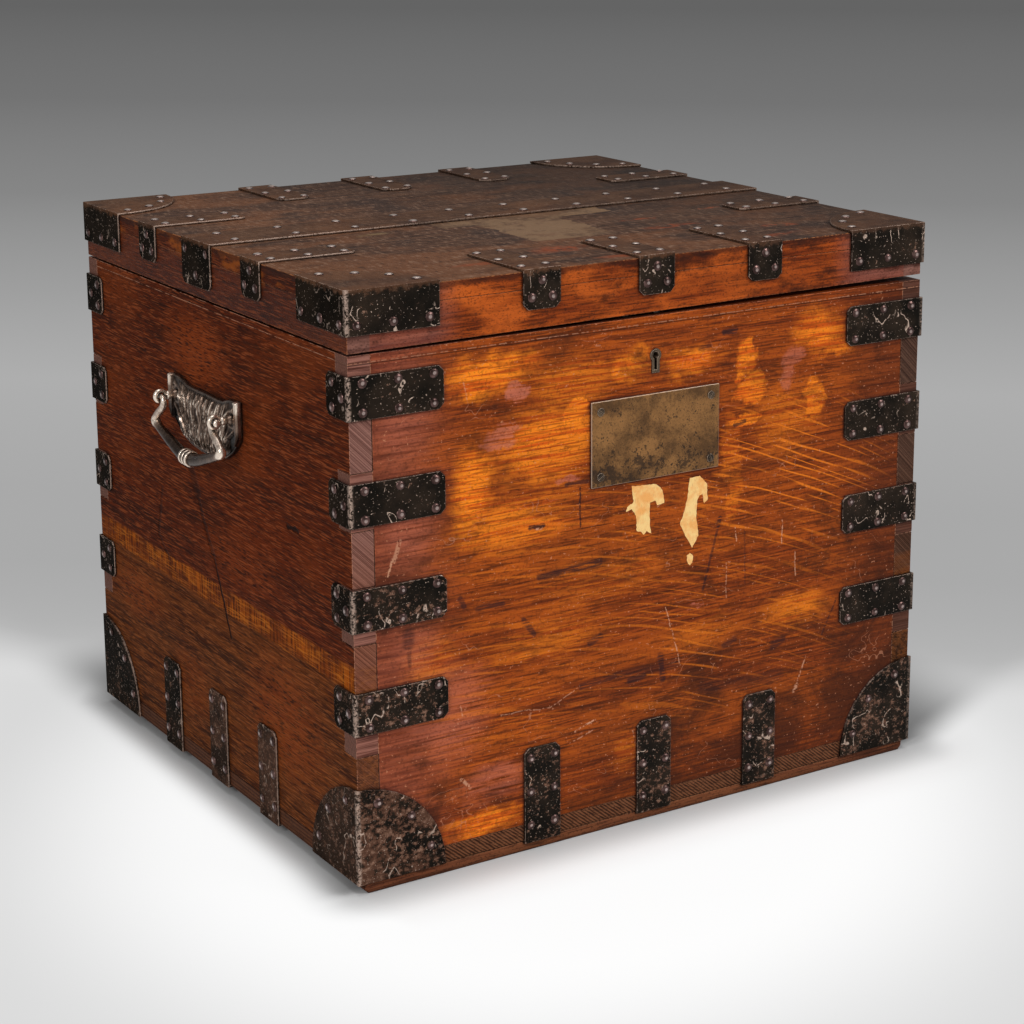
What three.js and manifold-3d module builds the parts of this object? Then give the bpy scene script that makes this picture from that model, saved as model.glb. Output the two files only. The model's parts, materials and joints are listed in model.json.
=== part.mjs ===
// Iron-bound oak silver chest with a hinged lid, a box lock, a name plate and two drop handles.
// Millimetres. X runs along the front to the right, Y to the back, Z up from what the chest stands on.
import * as THREE from 'three';
import { mergeVertices } from 'three/addons/utils/BufferGeometryUtils.js';
import Module from 'manifold-3d';

// Gaps between pieces
const seatGap = 0.3; // between a piece and the one that it is fixed to
const jointGap = 0.3; // between the fingers of a corner joint
const pinClearance = 0.15; // between a hinge pin and its knuckles
const knuckleGap = 0.4; // between neighbouring knuckles, and from a knuckle to the other leaf

// Oak case
const caseWidth = 636;
const caseDepth = 577;
const caseHeight = 482; // underside of the bottom board to the rim
const wallThickness = 22;
const bottomThickness = 16;
const fingerCount = 9; // fingers and sockets up each corner, an odd number
const runnerHeight = 10;
const runnerDepth = 48;
const runnerInset = 5; // how far the runners stop short of the sides
const runnerChamfer = 4;

// Oak lid
const lidSeam = 1.8; // gap between the rim and the closed lid
const sprungSeam = 5.5; // the same gap at the front right corner, where the lid has sprung
const lidRailHeight = 37;
const lidRailThickness = 22;
const lidBoardThickness = 16;
const frontBoardDepth = 268; // the lid is two boards, joined this far from the front

// Iron straps and their nails
const ironThickness = 2;
const strapWidth = 39;
const cornerClip = 5; // clipped corners at the free end of a strap
const roundClip = 11; // the same on the straps at the back of the lid
const nailHeadRadius = 4;
const nailHeadHeight = 2.1;
const nailSink = 0.4; // how far the foot of a nail head is let into its strap
const nailSides = 6;
const nailRowInset = 6.5; // side of a strap to its row of nails
const nailEndInset = 10; // free end of a strap to its last nails
const nailBendInset = 15; // bend of a strap to its first nails
const nailsInRow = 3;
const triangleInset = 11; // bend or free end of a short leg to its nails, set in a triangle
const triangleSideInset = 8.5;

// Straps round the upright corners of the case
const cornerStrapLong = 95; // leg on the front or back
const cornerStrapShort = 39; // leg on the side
const cornerStrapDrop = 37; // rim to the middle of the uppermost strap
const cornerStrapPitch = 95;
const cornerStrapCount = 4;

// Brackets at the corners of the lid and of the base
const lidCornerLength = 92;
const lidCornerDrop = 40;
const lidCornerNailHeight = 9; // above the lower edge of the bracket
const topDiscRadius = 93;
const topDiscNails = [12, 34, 56, 78]; // degrees round the arc
const baseDiscRadius = 90;
const baseDiscNails = [16, 45, 74];
const discNailInset = 12; // nails to the edge of the arc
const arcSteps = 10;

// Straps over the front and back edges of the lid
const lidStrapPitch = 124;
const lidStrapTopLength = 102;
const lidStrapDrop = 37; // leg down the side of the lid

// Straps over the sides of the lid
const sideStrapFront = 182; // front edge of the chest to the middle of the front side strap
const sideStrapBack = 162; // back edge of the chest to the middle of the back side strap
const sideStrapTopLength = 100;
const crossStrapWidth = 63;
const crossStrapSetBack = 0.5; // joint of the lid's boards to the front edge of the strap
const crossStrapDrop = 45;
const crossStrapNailCount = 10; // in each of its two rows
const crossStrapRowInset = 11.5;

// Straps round the base
const baseStrapHeight = 91;
const baseStrapPitchFront = 126;
const baseStrapPitchSide = 110;

// Strap hinges at the back
const knuckleRadius = 6;
const hingePinRadius = 3;
const hingePinOverhang = 1;
const knuckleShare = 0.34; // share of the hinge's width that the lid's knuckle takes
const caseLeafLength = 88;
const knuckleSides = 20;

// Drop handles, in a plane of their own: across, and up from the axis of the eyes
const handleAxisDrop = 101.5; // rim to the axis of the eyes
const eyeSpacing = 124;
const eyeStandOff = 22; // side of the case to the axis of the eyes
const eyeRadius = 7;
const eyeHoleRadius = 3;
const eyeThickness = 5;
const postRadius = 4;
const handlePlateThickness = 5;
const handlePlateBevel = 1.2;
const handlePlateRise = 13.5; // axis to the top edge of the plate, in its middle
const handlePlateDrop = 47; // axis to its lowest point
// The plate's end: out from the eye, and up from the axis
const handlePlateWing = [[-22, 14], [0, 17.5], [15, 19], [14, -17]];
// The plate's skirt: out from its middle, and up from the axis
const handlePlateSkirt = [[61, -32.5], [45, -41.5], [20, -46]];
const fluteCount = 9;
const fluteRadius = 5.5;
const fluteTop = 9;
const fluteBottom = -42;
const fluteSpreadTop = 112;
const fluteSpreadBottom = 22;
const fluteSides = 5;
const bailSides = 8;
const gripDrop = 48; // axis to the middle of the grip
const gripRadius = 6.2;
const collarRadius = 8;
const collarWidth = 3.6;
const collarPitch = 6.4;
const collarCount = 3;
const collarShoulder = 0.7;
// Half of the grip, out to the shoulder: out from the eye, up from the middle of the grip, and radius
const gripHalf = [[-46, 1.5, 5.6], [-21, 8, 5], [0, 14.5, 4.3], [10, 18.5, 4.8], [13, 22, 4.4]];
// The arm from the shoulder up beside the eye: out from the eye's inner face, up from its rim, and radius
const armHalf = [[11.5, -14.5, 3.5], [2, -7.5, 3.1], [-4.2, -0.5, 2.9]];
// The bend into the pin: out from the eye's inner face, up from the axis, and radius
const bendHalf = [[-5.1, -3.2, 2.7], [-2.9, -0.4, 2.4]];
const bailPinClearance = 0.6;
const bailHeadRadius = 3.6;
const bailHeadTip = 2.9; // radius at the outer end of the head
const bailHeadLength = 3.5;
const bailEndPlay = 0.5; // from an eye's post to the head on the bail's pin

// Box lock let into the inside of the front, and its link plate in the lid
const keyholeDrop = 37.3; // rim to the middle of the round part of the keyhole
const keyholeRadius = 3.4;
const keyholeSlot = 1.6; // half width of the straight part
const keyholeLength = 17.2; // top of the round part to the foot of the straight part
const linerWall = 2.6;
const linerProud = 0.6;
const lockLeft = -53;
const lockRight = 41;
const lockHeight = 62;
const lockThickness = 14;
const lockWall = 2;
const lockTopWall = 2.5;
const stapleMiddles = [-26, 8.5];
const stapleWidth = 6.5;
const stapleDepth = 8;
const stapleLength = 17;
const stapleEyeWidth = 5;
const stapleEyeHeight = 5.5;
const stapleFoot = 2.5; // metal below the eye
const stapleClearance = 1;
const linkPlateWidth = 60;
const linkPlateDepth = 14;
const linkPlateThickness = 2;
const linkPlateUnderside = 3; // above the rim
const boltThrow = 10;
const boltReach = 1.5; // bolt tip to staple when the bolt is drawn back
const boltPostClearance = 1; // post to staple when the bolt is thrown
const boltFingerWidth = 3.5;
const boltFingerHeight = 4.5;
const boltPostWidth = 5;
const boltBarHeight = 6;
const boltBarClearance = 3; // foot of a staple to the top of the bar
const boltBarLeft = -46;
const boltBarRight = 24;
const boltSideClearance = 0.4;
const talonWidth = 7;
const talonDepth = 2.5;
const ledgeThickness = 3;
const leftLedgeEnd = -25;
const rightLedgeStart = 15;

// Name plate, left blank
const namePlateWidth = 144;
const namePlateHeight = 81;
const namePlateThickness = 2.2;
const namePlateDrop = 113; // rim to the middle of the plate
const plateScrewInset = 10;
const plateScrewRadius = 3.6;
const plateScrewTopRadius = 2.9;
const plateScrewHeight = 0.8;
const plateScrewSides = 10;

// Baize lining of the case
const baizeThickness = 2;
const baizeTopDrop = 10; // rim to the upper edge of the baize
const lockCutMargin = 4; // baize kept clear of the lock

// Worked out from the sizes above
const halfWidth = caseWidth / 2;
const halfDepth = caseDepth / 2;
const lidBottom = caseHeight + lidSeam;
const railTop = lidBottom + lidRailHeight;
const lidTop = railTop + seatGap + lidBoardThickness;
const wallBottom = bottomThickness + seatGap;
const ironReach = seatGap + ironThickness;
const hingeAxisHeight = caseHeight + lidSeam / 2;
const hingeAxisDepth = halfDepth + seatGap + knuckleRadius;
const lockTop = caseHeight - seatGap;
const lockBottom = lockTop - lockHeight;
const lockMiddleDepth = -(halfDepth - wallThickness) - lockThickness / 2;
const lockCavityDepth = lockThickness - 2 * lockWall;
const linkPlateLow = caseHeight + linkPlateUnderside;
const linkPlateMiddle = (stapleMiddles[0] + stapleMiddles[1]) / 2;
const boltBarBottom = linkPlateLow - stapleLength - boltBarClearance - boltBarHeight;
const keyholeHeight = caseHeight - keyholeDrop;
const keyholeFoot = keyholeHeight + keyholeRadius - keyholeLength;
const nailRowSpread = strapWidth - 2 * nailRowInset;
const handleAxisHeight = caseHeight - handleAxisDrop;
const floorDrop = runnerHeight + seatGap;
const frontReach = halfDepth + ironReach + nailHeadHeight - nailSink;
const backReach = hingeAxisDepth + knuckleRadius;

const oak = new THREE.MeshStandardMaterial({ color: 0x7a3a1c, roughness: 0.5, metalness: 0 });
const lidOak = new THREE.MeshStandardMaterial({ color: 0x4f3a30, roughness: 0.55, metalness: 0 });
const japannedIron = new THREE.MeshStandardMaterial({ color: 0x1f1d1a, roughness: 0.45, metalness: 0.6 });
const castIron = new THREE.MeshStandardMaterial({ color: 0x5a544c, roughness: 0.4, metalness: 0.8 });
const brass = new THREE.MeshStandardMaterial({ color: 0x6b5836, roughness: 0.4, metalness: 0.9 });
const steel = new THREE.MeshStandardMaterial({ color: 0x77736c, roughness: 0.35, metalness: 0.9 });
const baize = new THREE.MeshStandardMaterial({ color: 0x1f4a30, roughness: 1, metalness: 0 });

const manifold = await Module();
manifold.setup();

// Turns a closed geometry into a solid that can be joined and cut
function toSolid(geometry) {
  const bare = geometry.clone();
  bare.deleteAttribute('normal');
  bare.deleteAttribute('uv');
  const merged = mergeVertices(bare, 1e-4);
  return new manifold.Manifold(new manifold.Mesh({
    numProp: 3,
    vertProperties: new Float32Array(merged.attributes.position.array),
    triVerts: new Uint32Array(merged.index.array),
  }));
}

function toGeometry(solid) {
  const mesh = solid.getMesh();
  const geometry = new THREE.BufferGeometry();
  geometry.setAttribute('position', new THREE.BufferAttribute(mesh.vertProperties, 3));
  geometry.setIndex(new THREE.BufferAttribute(mesh.triVerts, 1));
  geometry.computeVertexNormals();
  return geometry;
}

function join(geometries) {
  const solids = geometries.map(toSolid);
  return toGeometry(solids.reduce((whole, piece) => whole.add(piece)));
}

function cut(geometry, cutters) {
  const whole = toSolid(geometry);
  return toGeometry(cutters.map(toSolid).reduce((rest, cutter) => rest.subtract(cutter), whole));
}

function box(xRange, yRange, zRange) {
  const size = [xRange, yRange, zRange].map(([low, high]) => high - low);
  const middle = [xRange, yRange, zRange].map(([low, high]) => (high + low) / 2);
  return new THREE.BoxGeometry(...size).translate(...middle);
}

// The outside faces of the chest: axes to the right and upwards as seen from outside, the way out,
// and how far out the face lies
const right = new THREE.Vector3(1, 0, 0);
const back = new THREE.Vector3(0, 1, 0);
const up = new THREE.Vector3(0, 0, 1);
const left = right.clone().negate();
const front = back.clone().negate();
const down = up.clone().negate();
const faces = {
  front: { across: right, along: up, out: front, reach: halfDepth },
  back: { across: left, along: up, out: back, reach: halfDepth },
  left: { across: front, along: up, out: left, reach: halfWidth },
  right: { across: back, along: up, out: right, reach: halfWidth },
  top: { across: right, along: back, out: up, reach: lidTop },
  bottom: { across: right, along: front, out: down, reach: 0 },
};

// Moves a geometry drawn flat, with +Z as its way out, onto a face of the chest
function ontoFace(geometry, faceName, height) {
  const face = faces[faceName];
  const placing = new THREE.Matrix4().makeBasis(face.across, face.along, face.out);
  placing.setPosition(face.out.clone().multiplyScalar(face.reach + height));
  return geometry.applyMatrix4(placing);
}

// Places of a row of nails along a leg of the given length, measured from its bend
function nailRuns(length, bendInset) {
  const pitch = (length - bendInset - nailEndInset) / (nailsInRow - 1);
  return Array.from({ length: nailsInRow }, (_, nail) => bendInset + nail * pitch);
}

// Three nails in a triangle on a short leg: run from its bend, and across it
function nailTriangle(length, width, pairAtBend) {
  const side = width / 2 - triangleSideInset;
  const [single, pair] = pairAtBend
    ? [length - triangleInset, triangleInset]
    : [triangleInset, length - triangleInset];
  return [[single, 0], [pair, -side], [pair, side]];
}

function outline(points) {
  return new THREE.Shape(points.map(([across, along]) => new THREE.Vector2(across, along)));
}

function slab(shape, thickness) {
  return new THREE.ExtrudeGeometry(shape, { depth: thickness, bevelEnabled: false });
}

function ironPlate(shape, faceName) {
  return ontoFace(slab(shape, ironThickness), faceName, seatGap);
}

function nailHead(faceName, across, along) {
  const head = new THREE.ConeGeometry(nailHeadRadius, nailHeadHeight, nailSides).rotateX(Math.PI / 2);
  head.translate(across, along, nailHeadHeight / 2);
  return ontoFace(head, faceName, ironReach - nailSink);
}

// A strip from start to end, with the two corners at its end clipped. It runs across or along a face.
function strip(direction, start, end, middle, width, clip) {
  const step = Math.sign(end - start);
  const low = middle - width / 2;
  const high = middle + width / 2;
  const squareEnd = [[end, low], [end, high]];
  const clipped = end - step * clip;
  const clippedEnd = [[clipped, low], [end, low + clip], [end, high - clip], [clipped, high]];
  const points = [[start, low], ...(clip > 0 ? clippedEnd : squareEnd), [start, high]];
  return outline(direction === 'across' ? points : points.map(([run, side]) => [side, run]));
}

// A quarter disc with its square corner at the given point, opening the way of the two signs
function quarterDisc(corner, signs, radius) {
  const points = [corner];
  for (let step = 0; step <= arcSteps; step += 1) {
    const angle = (step / arcSteps) * (Math.PI / 2);
    const run = [Math.cos(angle) * radius, Math.sin(angle) * radius];
    points.push([corner[0] + signs[0] * run[0], corner[1] + signs[1] * run[1]]);
  }
  return outline(points);
}

function discNails(faceName, corner, signs, radius, degrees) {
  return degrees.map((angle) => {
    const turn = THREE.MathUtils.degToRad(angle);
    const run = radius - discNailInset;
    const across = corner[0] + signs[0] * Math.cos(turn) * run;
    return nailHead(faceName, across, corner[1] + signs[1] * Math.sin(turn) * run);
  });
}

const chest = new THREE.Group();
const caseGroup = new THREE.Group();
const lidGroup = new THREE.Group();

function addPiece(parent, name, geometry, material) {
  const mesh = new THREE.Mesh(geometry, material);
  mesh.name = name;
  parent.add(mesh);
  return mesh;
}

// Wall of the case with fingers up both ends; the first finger belongs to the front and back walls
function wallOutline(halfLength, ownsFirst) {
  const pitch = (caseHeight - wallBottom) / fingerCount;
  const edge = [];
  for (let finger = 0; finger < fingerCount; finger += 1) {
    const owned = (finger % 2 === 0) === ownsFirst;
    const ease = owned ? jointGap / 2 : -jointGap / 2;
    const reach = owned ? halfLength : halfLength - wallThickness - seatGap;
    const low = finger === 0 ? wallBottom : wallBottom + finger * pitch + ease;
    const high = finger === fingerCount - 1 ? caseHeight : wallBottom + (finger + 1) * pitch - ease;
    edge.push([reach, low], [reach, high]);
  }
  const mirrored = edge.map(([reach, height]) => [-reach, height]).reverse();
  return outline([...edge, ...mirrored]);
}

// The keyhole, a round head with a straight part below it, widened all round and extruded
function keyholeSlab(widening, depth) {
  const radius = keyholeRadius + widening;
  const slot = keyholeSlot + widening;
  const foot = keyholeFoot - widening;
  const meet = Math.sqrt(radius * radius - slot * slot);
  const start = Math.atan2(-meet, slot);
  const shape = new THREE.Shape();
  shape.moveTo(-slot, foot);
  shape.lineTo(slot, foot);
  shape.lineTo(slot, keyholeHeight - meet);
  shape.absarc(0, keyholeHeight, radius, start, Math.PI - start, false);
  shape.closePath();
  return new THREE.ExtrudeGeometry(shape, { depth, bevelEnabled: false, curveSegments: arcSteps });
}

function makeCase() {
  const wall = (shape, face) => ontoFace(slab(shape, wallThickness), face, -wallThickness);
  const insideFront = -(halfDepth - wallThickness);
  const mortise = box(
    [lockLeft - seatGap, lockRight + seatGap],
    [insideFront - lockThickness - seatGap, insideFront + wallThickness],
    [lockBottom - seatGap, caseHeight + wallThickness],
  );
  const linerHole = ontoFace(keyholeSlab(linerWall + seatGap, 2 * wallThickness), 'front', -wallThickness);
  const frontWall = cut(wall(wallOutline(halfWidth, true), 'front'), [mortise, linerHole]);
  addPiece(caseGroup, 'case_front', frontWall, oak);
  addPiece(caseGroup, 'case_back', wall(wallOutline(halfWidth, true), 'back'), oak);
  addPiece(caseGroup, 'case_left', wall(wallOutline(halfDepth, false), 'left'), oak);
  addPiece(caseGroup, 'case_right', wall(wallOutline(halfDepth, false), 'right'), oak);
  const bottom = box([-halfWidth, halfWidth], [-halfDepth, halfDepth], [0, bottomThickness]);
  addPiece(caseGroup, 'case_bottom', bottom, oak);
}

// Runners under the front and back edges, notched over the base straps
function makeRunners() {
  const end = halfWidth - runnerInset;
  const low = -floorDrop;
  const notchTop = -seatGap;
  const notchFloor = -ironReach - seatGap;
  const notchHalf = strapWidth / 2 + seatGap;
  const points = [[-end, notchTop], [-end, low + runnerChamfer], [-end + runnerChamfer, low],
    [end - runnerChamfer, low], [end, low + runnerChamfer], [end, notchTop]];
  for (const middle of [baseStrapPitchFront, 0, -baseStrapPitchFront]) {
    points.push([middle + notchHalf, notchTop], [middle + notchHalf, notchFloor],
      [middle - notchHalf, notchFloor], [middle - notchHalf, notchTop]);
  }
  for (const [name, side] of [['runner_front', 'front'], ['runner_back', 'back']]) {
    addPiece(caseGroup, name, ontoFace(slab(outline(points), runnerDepth), side, -runnerDepth), oak);
  }
}

function makeLining() {
  const outerX = halfWidth - wallThickness - seatGap;
  const outerY = halfDepth - wallThickness - seatGap;
  const floor = bottomThickness + seatGap;
  const top = caseHeight - baizeTopDrop;
  const innerX = outerX - baizeThickness;
  const innerY = outerY - baizeThickness;
  const body = box([-outerX, outerX], [-outerY, outerY], [floor, top]);
  const hollow = box([-innerX, innerX], [-innerY, innerY], [floor + baizeThickness, top + baizeThickness]);
  const lockCut = box(
    [lockLeft - lockCutMargin, lockRight + lockCutMargin],
    [-outerY - baizeThickness, -innerY + baizeThickness],
    [lockBottom - lockCutMargin, top + baizeThickness],
  );
  addPiece(caseGroup, 'baize_lining', cut(body, [hollow, lockCut]), baize);
}

// The lid's frame: four rails, with the underside cut away towards the sprung front right corner
function makeLid() {
  const outer = outline([[-halfWidth, -halfDepth], [halfWidth, -halfDepth],
    [halfWidth, halfDepth], [-halfWidth, halfDepth]]);
  const innerX = halfWidth - lidRailThickness;
  const innerY = halfDepth - lidRailThickness;
  outer.holes.push(outline([[-innerX, -innerY], [-innerX, innerY], [innerX, innerY], [innerX, -innerY]]));
  const rails = slab(outer, lidRailHeight).translate(0, 0, lidBottom);
  const spring = new THREE.BufferGeometry();
  const below = lidBottom - lidRailHeight;
  spring.setAttribute('position', new THREE.BufferAttribute(new Float32Array([
    -halfWidth, -halfDepth, lidBottom, halfWidth, -halfDepth, caseHeight + sprungSeam,
    halfWidth, halfDepth, lidBottom, halfWidth, -halfDepth, below,
  ]), 3));
  spring.setIndex([0, 1, 2, 0, 3, 1, 1, 3, 2, 0, 2, 3]);
  const linkMortise = box(
    [linkPlateMiddle - linkPlateWidth / 2 - seatGap, linkPlateMiddle + linkPlateWidth / 2 + seatGap],
    [lockMiddleDepth - linkPlateDepth / 2 - seatGap, lockMiddleDepth + linkPlateDepth / 2 + seatGap],
    [below, linkPlateLow + linkPlateThickness + seatGap],
  );
  addPiece(lidGroup, 'lid_frame', cut(rails, [spring, linkMortise]), oak);
  const jointDepth = -halfDepth + frontBoardDepth;
  const boardRange = [railTop + seatGap, lidTop];
  const frontBoard = box([-halfWidth, halfWidth], [-halfDepth, jointDepth - seatGap / 2], boardRange);
  const backBoard = box([-halfWidth, halfWidth], [jointDepth + seatGap / 2, halfDepth], boardRange);
  addPiece(lidGroup, 'lid_board_front', frontBoard, lidOak);
  addPiece(lidGroup, 'lid_board_back', backBoard, lidOak);
}

// The four upright corners of the chest: the two faces that meet there, and which way each one runs
const corners = [
  { name: 'front_left', main: 'front', mainSign: 1, side: 'left', sideSign: -1, topSigns: [1, 1] },
  { name: 'front_right', main: 'front', mainSign: -1, side: 'right', sideSign: 1, topSigns: [-1, 1] },
  { name: 'back_left', main: 'back', mainSign: -1, side: 'left', sideSign: 1, topSigns: [1, -1] },
  { name: 'back_right', main: 'back', mainSign: 1, side: 'right', sideSign: -1, topSigns: [-1, -1] },
];

// Place of a corner across the two faces that meet there, out to the face of the iron
function cornerEdges(corner) {
  return {
    main: -corner.mainSign * (halfWidth + ironReach),
    side: -corner.sideSign * (halfDepth + ironReach),
  };
}

function makeCornerStraps() {
  for (const corner of corners) {
    const edge = cornerEdges(corner);
    const longLeg = strip('across', edge.main, edge.main + corner.mainSign * cornerStrapLong,
      0, strapWidth, cornerClip);
    const shortLeg = strip('across', edge.side, edge.side + corner.sideSign * cornerStrapShort,
      0, strapWidth, cornerClip);
    const pieces = [ironPlate(longLeg, corner.main), ironPlate(shortLeg, corner.side)];
    for (const run of nailRuns(cornerStrapLong, nailBendInset)) {
      for (const across of [-nailRowSpread / 2, nailRowSpread / 2]) {
        pieces.push(nailHead(corner.main, edge.main + corner.mainSign * run, across));
      }
    }
    for (const [run, across] of nailTriangle(cornerStrapShort, strapWidth, false)) {
      pieces.push(nailHead(corner.side, edge.side + corner.sideSign * run, across));
    }
    const strap = join(pieces);
    for (let level = 0; level < cornerStrapCount; level += 1) {
      const mesh = addPiece(caseGroup, `corner_strap_${corner.name}_${level + 1}`, strap, japannedIron);
      mesh.position.z = caseHeight - cornerStrapDrop - level * cornerStrapPitch;
    }
  }
}

function makeBaseCorners() {
  for (const corner of corners) {
    const edge = cornerEdges(corner);
    const mainDisc = quarterDisc([edge.main, 0], [corner.mainSign, 1], baseDiscRadius);
    const sideDisc = quarterDisc([edge.side, 0], [corner.sideSign, 1], baseDiscRadius);
    const pieces = [
      ironPlate(mainDisc, corner.main),
      ironPlate(sideDisc, corner.side),
      ...discNails(corner.main, [edge.main, 0], [corner.mainSign, 1], baseDiscRadius, baseDiscNails),
      ...discNails(corner.side, [edge.side, 0], [corner.sideSign, 1], baseDiscRadius, baseDiscNails),
    ];
    addPiece(caseGroup, `base_corner_${corner.name}`, join(pieces), japannedIron);
  }
}

function makeLidCorners() {
  const top = lidTop + ironReach;
  const low = top - lidCornerDrop;
  for (const corner of corners) {
    const edge = cornerEdges(corner);
    const [towardX, towardY] = corner.topSigns;
    const topCorner = [-towardX * (halfWidth + ironReach), -towardY * (halfDepth + ironReach)];
    const legs = [[corner.main, edge.main, corner.mainSign], [corner.side, edge.side, corner.sideSign]];
    const pieces = [
      ironPlate(quarterDisc(topCorner, corner.topSigns, topDiscRadius), 'top'),
      ...discNails('top', topCorner, corner.topSigns, topDiscRadius, topDiscNails),
    ];
    for (const [face, start, sign] of legs) {
      const leg = strip('across', start, start + sign * lidCornerLength, (low + top) / 2, lidCornerDrop, 0);
      pieces.push(ironPlate(leg, face));
      for (const run of nailRuns(lidCornerLength, triangleInset)) {
        pieces.push(nailHead(face, start + sign * run, low + lidCornerNailHeight));
      }
    }
    addPiece(lidGroup, `lid_corner_${corner.name}`, join(pieces), japannedIron);
  }
}

// Two rows of nails along a leg, given as places along it and across it
function nailRows(faceName, direction, runs, middle, spread) {
  const heads = [];
  for (const run of runs) {
    for (const side of [middle - spread / 2, middle + spread / 2]) {
      heads.push(direction === 'across' ? nailHead(faceName, run, side) : nailHead(faceName, side, run));
    }
  }
  return heads;
}

// The nails of a leg down the side of the lid
function dropNails(faceName, middle, width, drop, pairAtBend) {
  const top = lidTop + ironReach;
  return nailTriangle(drop, width, pairAtBend).map(
    ([fall, across]) => nailHead(faceName, middle + across, top - fall));
}

// A leg down the side of the lid from its top edge, with its nails
function dropLeg(faceName, middle, width, drop, pairAtBend) {
  const top = lidTop + ironReach;
  return [
    ironPlate(strip('along', top, top - drop, middle, width, cornerClip), faceName),
    ...dropNails(faceName, middle, width, drop, pairAtBend),
  ];
}

// The leg of a strap over the top of the lid, from the front or back edge
function topLeg(sign, middle, clip) {
  const edge = -sign * (halfDepth + ironReach);
  const runs = nailRuns(lidStrapTopLength, nailBendInset).map((run) => edge + sign * run);
  return [
    ironPlate(strip('along', edge, edge + sign * lidStrapTopLength, middle, strapWidth, clip), 'top'),
    ...nailRows('top', 'along', runs, middle, nailRowSpread),
  ];
}

function makeLidStraps() {
  const places = [['left', -lidStrapPitch], ['middle', 0], ['right', lidStrapPitch]];
  for (const [name, middle] of places) {
    const pieces = [
      ...topLeg(1, middle, cornerClip),
      ...dropLeg('front', middle, strapWidth, lidStrapDrop, false),
    ];
    addPiece(lidGroup, `lid_front_strap_${name}`, join(pieces), japannedIron);
  }
  const backPieces = [...topLeg(-1, 0, roundClip), ...dropLeg('back', 0, strapWidth, lidStrapDrop, false)];
  addPiece(lidGroup, 'lid_back_strap', join(backPieces), japannedIron);

  for (const [side, sign] of [['left', 1], ['right', -1]]) {
    const edge = -sign * (halfWidth + ironReach);
    const topEnd = edge + sign * sideStrapTopLength;
    const runs = nailRuns(sideStrapTopLength, nailBendInset).map((run) => edge + sign * run);
    const middles = [['front', sideStrapFront - halfDepth], ['back', halfDepth - sideStrapBack]];
    for (const [name, middle] of middles) {
      const sideMiddle = -sign * middle;
      const pieces = [
        ironPlate(strip('across', edge, topEnd, middle, strapWidth, cornerClip), 'top'),
        ...nailRows('top', 'across', runs, middle, nailRowSpread),
        ...dropLeg(side, sideMiddle, strapWidth, lidStrapDrop, false),
      ];
      addPiece(lidGroup, `lid_side_strap_${side}_${name}`, join(pieces), japannedIron);
    }
  }
}

function makeCrossStrap() {
  const reach = halfWidth + ironReach;
  const middle = frontBoardDepth + crossStrapSetBack + crossStrapWidth / 2 - halfDepth;
  const pitch = (2 * reach) / crossStrapNailCount;
  const runs = Array.from({ length: crossStrapNailCount }, (_, nail) => -reach + (nail + 0.5) * pitch);
  const pieces = [
    ironPlate(strip('across', -reach, reach, middle, crossStrapWidth, 0), 'top'),
    ...nailRows('top', 'across', runs, middle, crossStrapWidth - 2 * crossStrapRowInset),
    ...dropLeg('left', -middle, crossStrapWidth, crossStrapDrop, true),
    ...dropLeg('right', middle, crossStrapWidth, crossStrapDrop, true),
  ];
  addPiece(lidGroup, 'lid_cross_strap', join(pieces), japannedIron);
}

// The gaps on both sides of straps with these middles, out to and past a reach
function gapsBetween(middles, reach) {
  const edges = middles.flatMap((middle) => [middle - strapWidth / 2, middle + strapWidth / 2]);
  const stops = [-reach, ...edges, reach];
  return middles.map((_, gap) => [stops[2 * gap], stops[2 * gap + 1]]).concat([stops.slice(-2)]);
}

// The base straps are one riveted cradle: three run under the chest from front to back and three
// from side to side, and each end turns up the wall
function makeBaseCradle() {
  const frontMiddles = [-baseStrapPitchFront, 0, baseStrapPitchFront];
  const sideMiddles = [-baseStrapPitchSide, 0, baseStrapPitchSide];
  const reachX = halfWidth + ironReach;
  const reachY = halfDepth + ironReach;
  const sheet = box([-reachX, reachX], [-reachY, reachY], [-ironReach, -seatGap]);
  const windows = gapsBetween(frontMiddles, reachX + strapWidth).flatMap(
    (xRange) => gapsBetween(sideMiddles, reachY + strapWidth).map(
      (yRange) => box(xRange, yRange, [-2 * ironReach, ironReach])));
  const pieces = [cut(sheet, windows)];
  const turnUp = (faceName, place) => {
    const leg = strip('along', -ironReach, baseStrapHeight, place, strapWidth, cornerClip);
    pieces.push(ironPlate(leg, faceName));
    const runs = nailRuns(baseStrapHeight, nailBendInset);
    pieces.push(...nailRows(faceName, 'along', runs, place, nailRowSpread));
  };
  for (const middle of frontMiddles) {
    turnUp('front', middle);
    turnUp('back', middle);
  }
  for (const middle of sideMiddles) {
    turnUp('left', middle);
    turnUp('right', middle);
  }
  addPiece(caseGroup, 'base_strap_cradle', join(pieces), japannedIron);
}

// A cylinder along X about the hinge axis
function hingeCylinder(radius, xRange) {
  const length = xRange[1] - xRange[0];
  const cylinder = new THREE.CylinderGeometry(radius, radius, length, knuckleSides).rotateZ(Math.PI / 2);
  return cylinder.translate((xRange[0] + xRange[1]) / 2, hingeAxisDepth, hingeAxisHeight);
}

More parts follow.
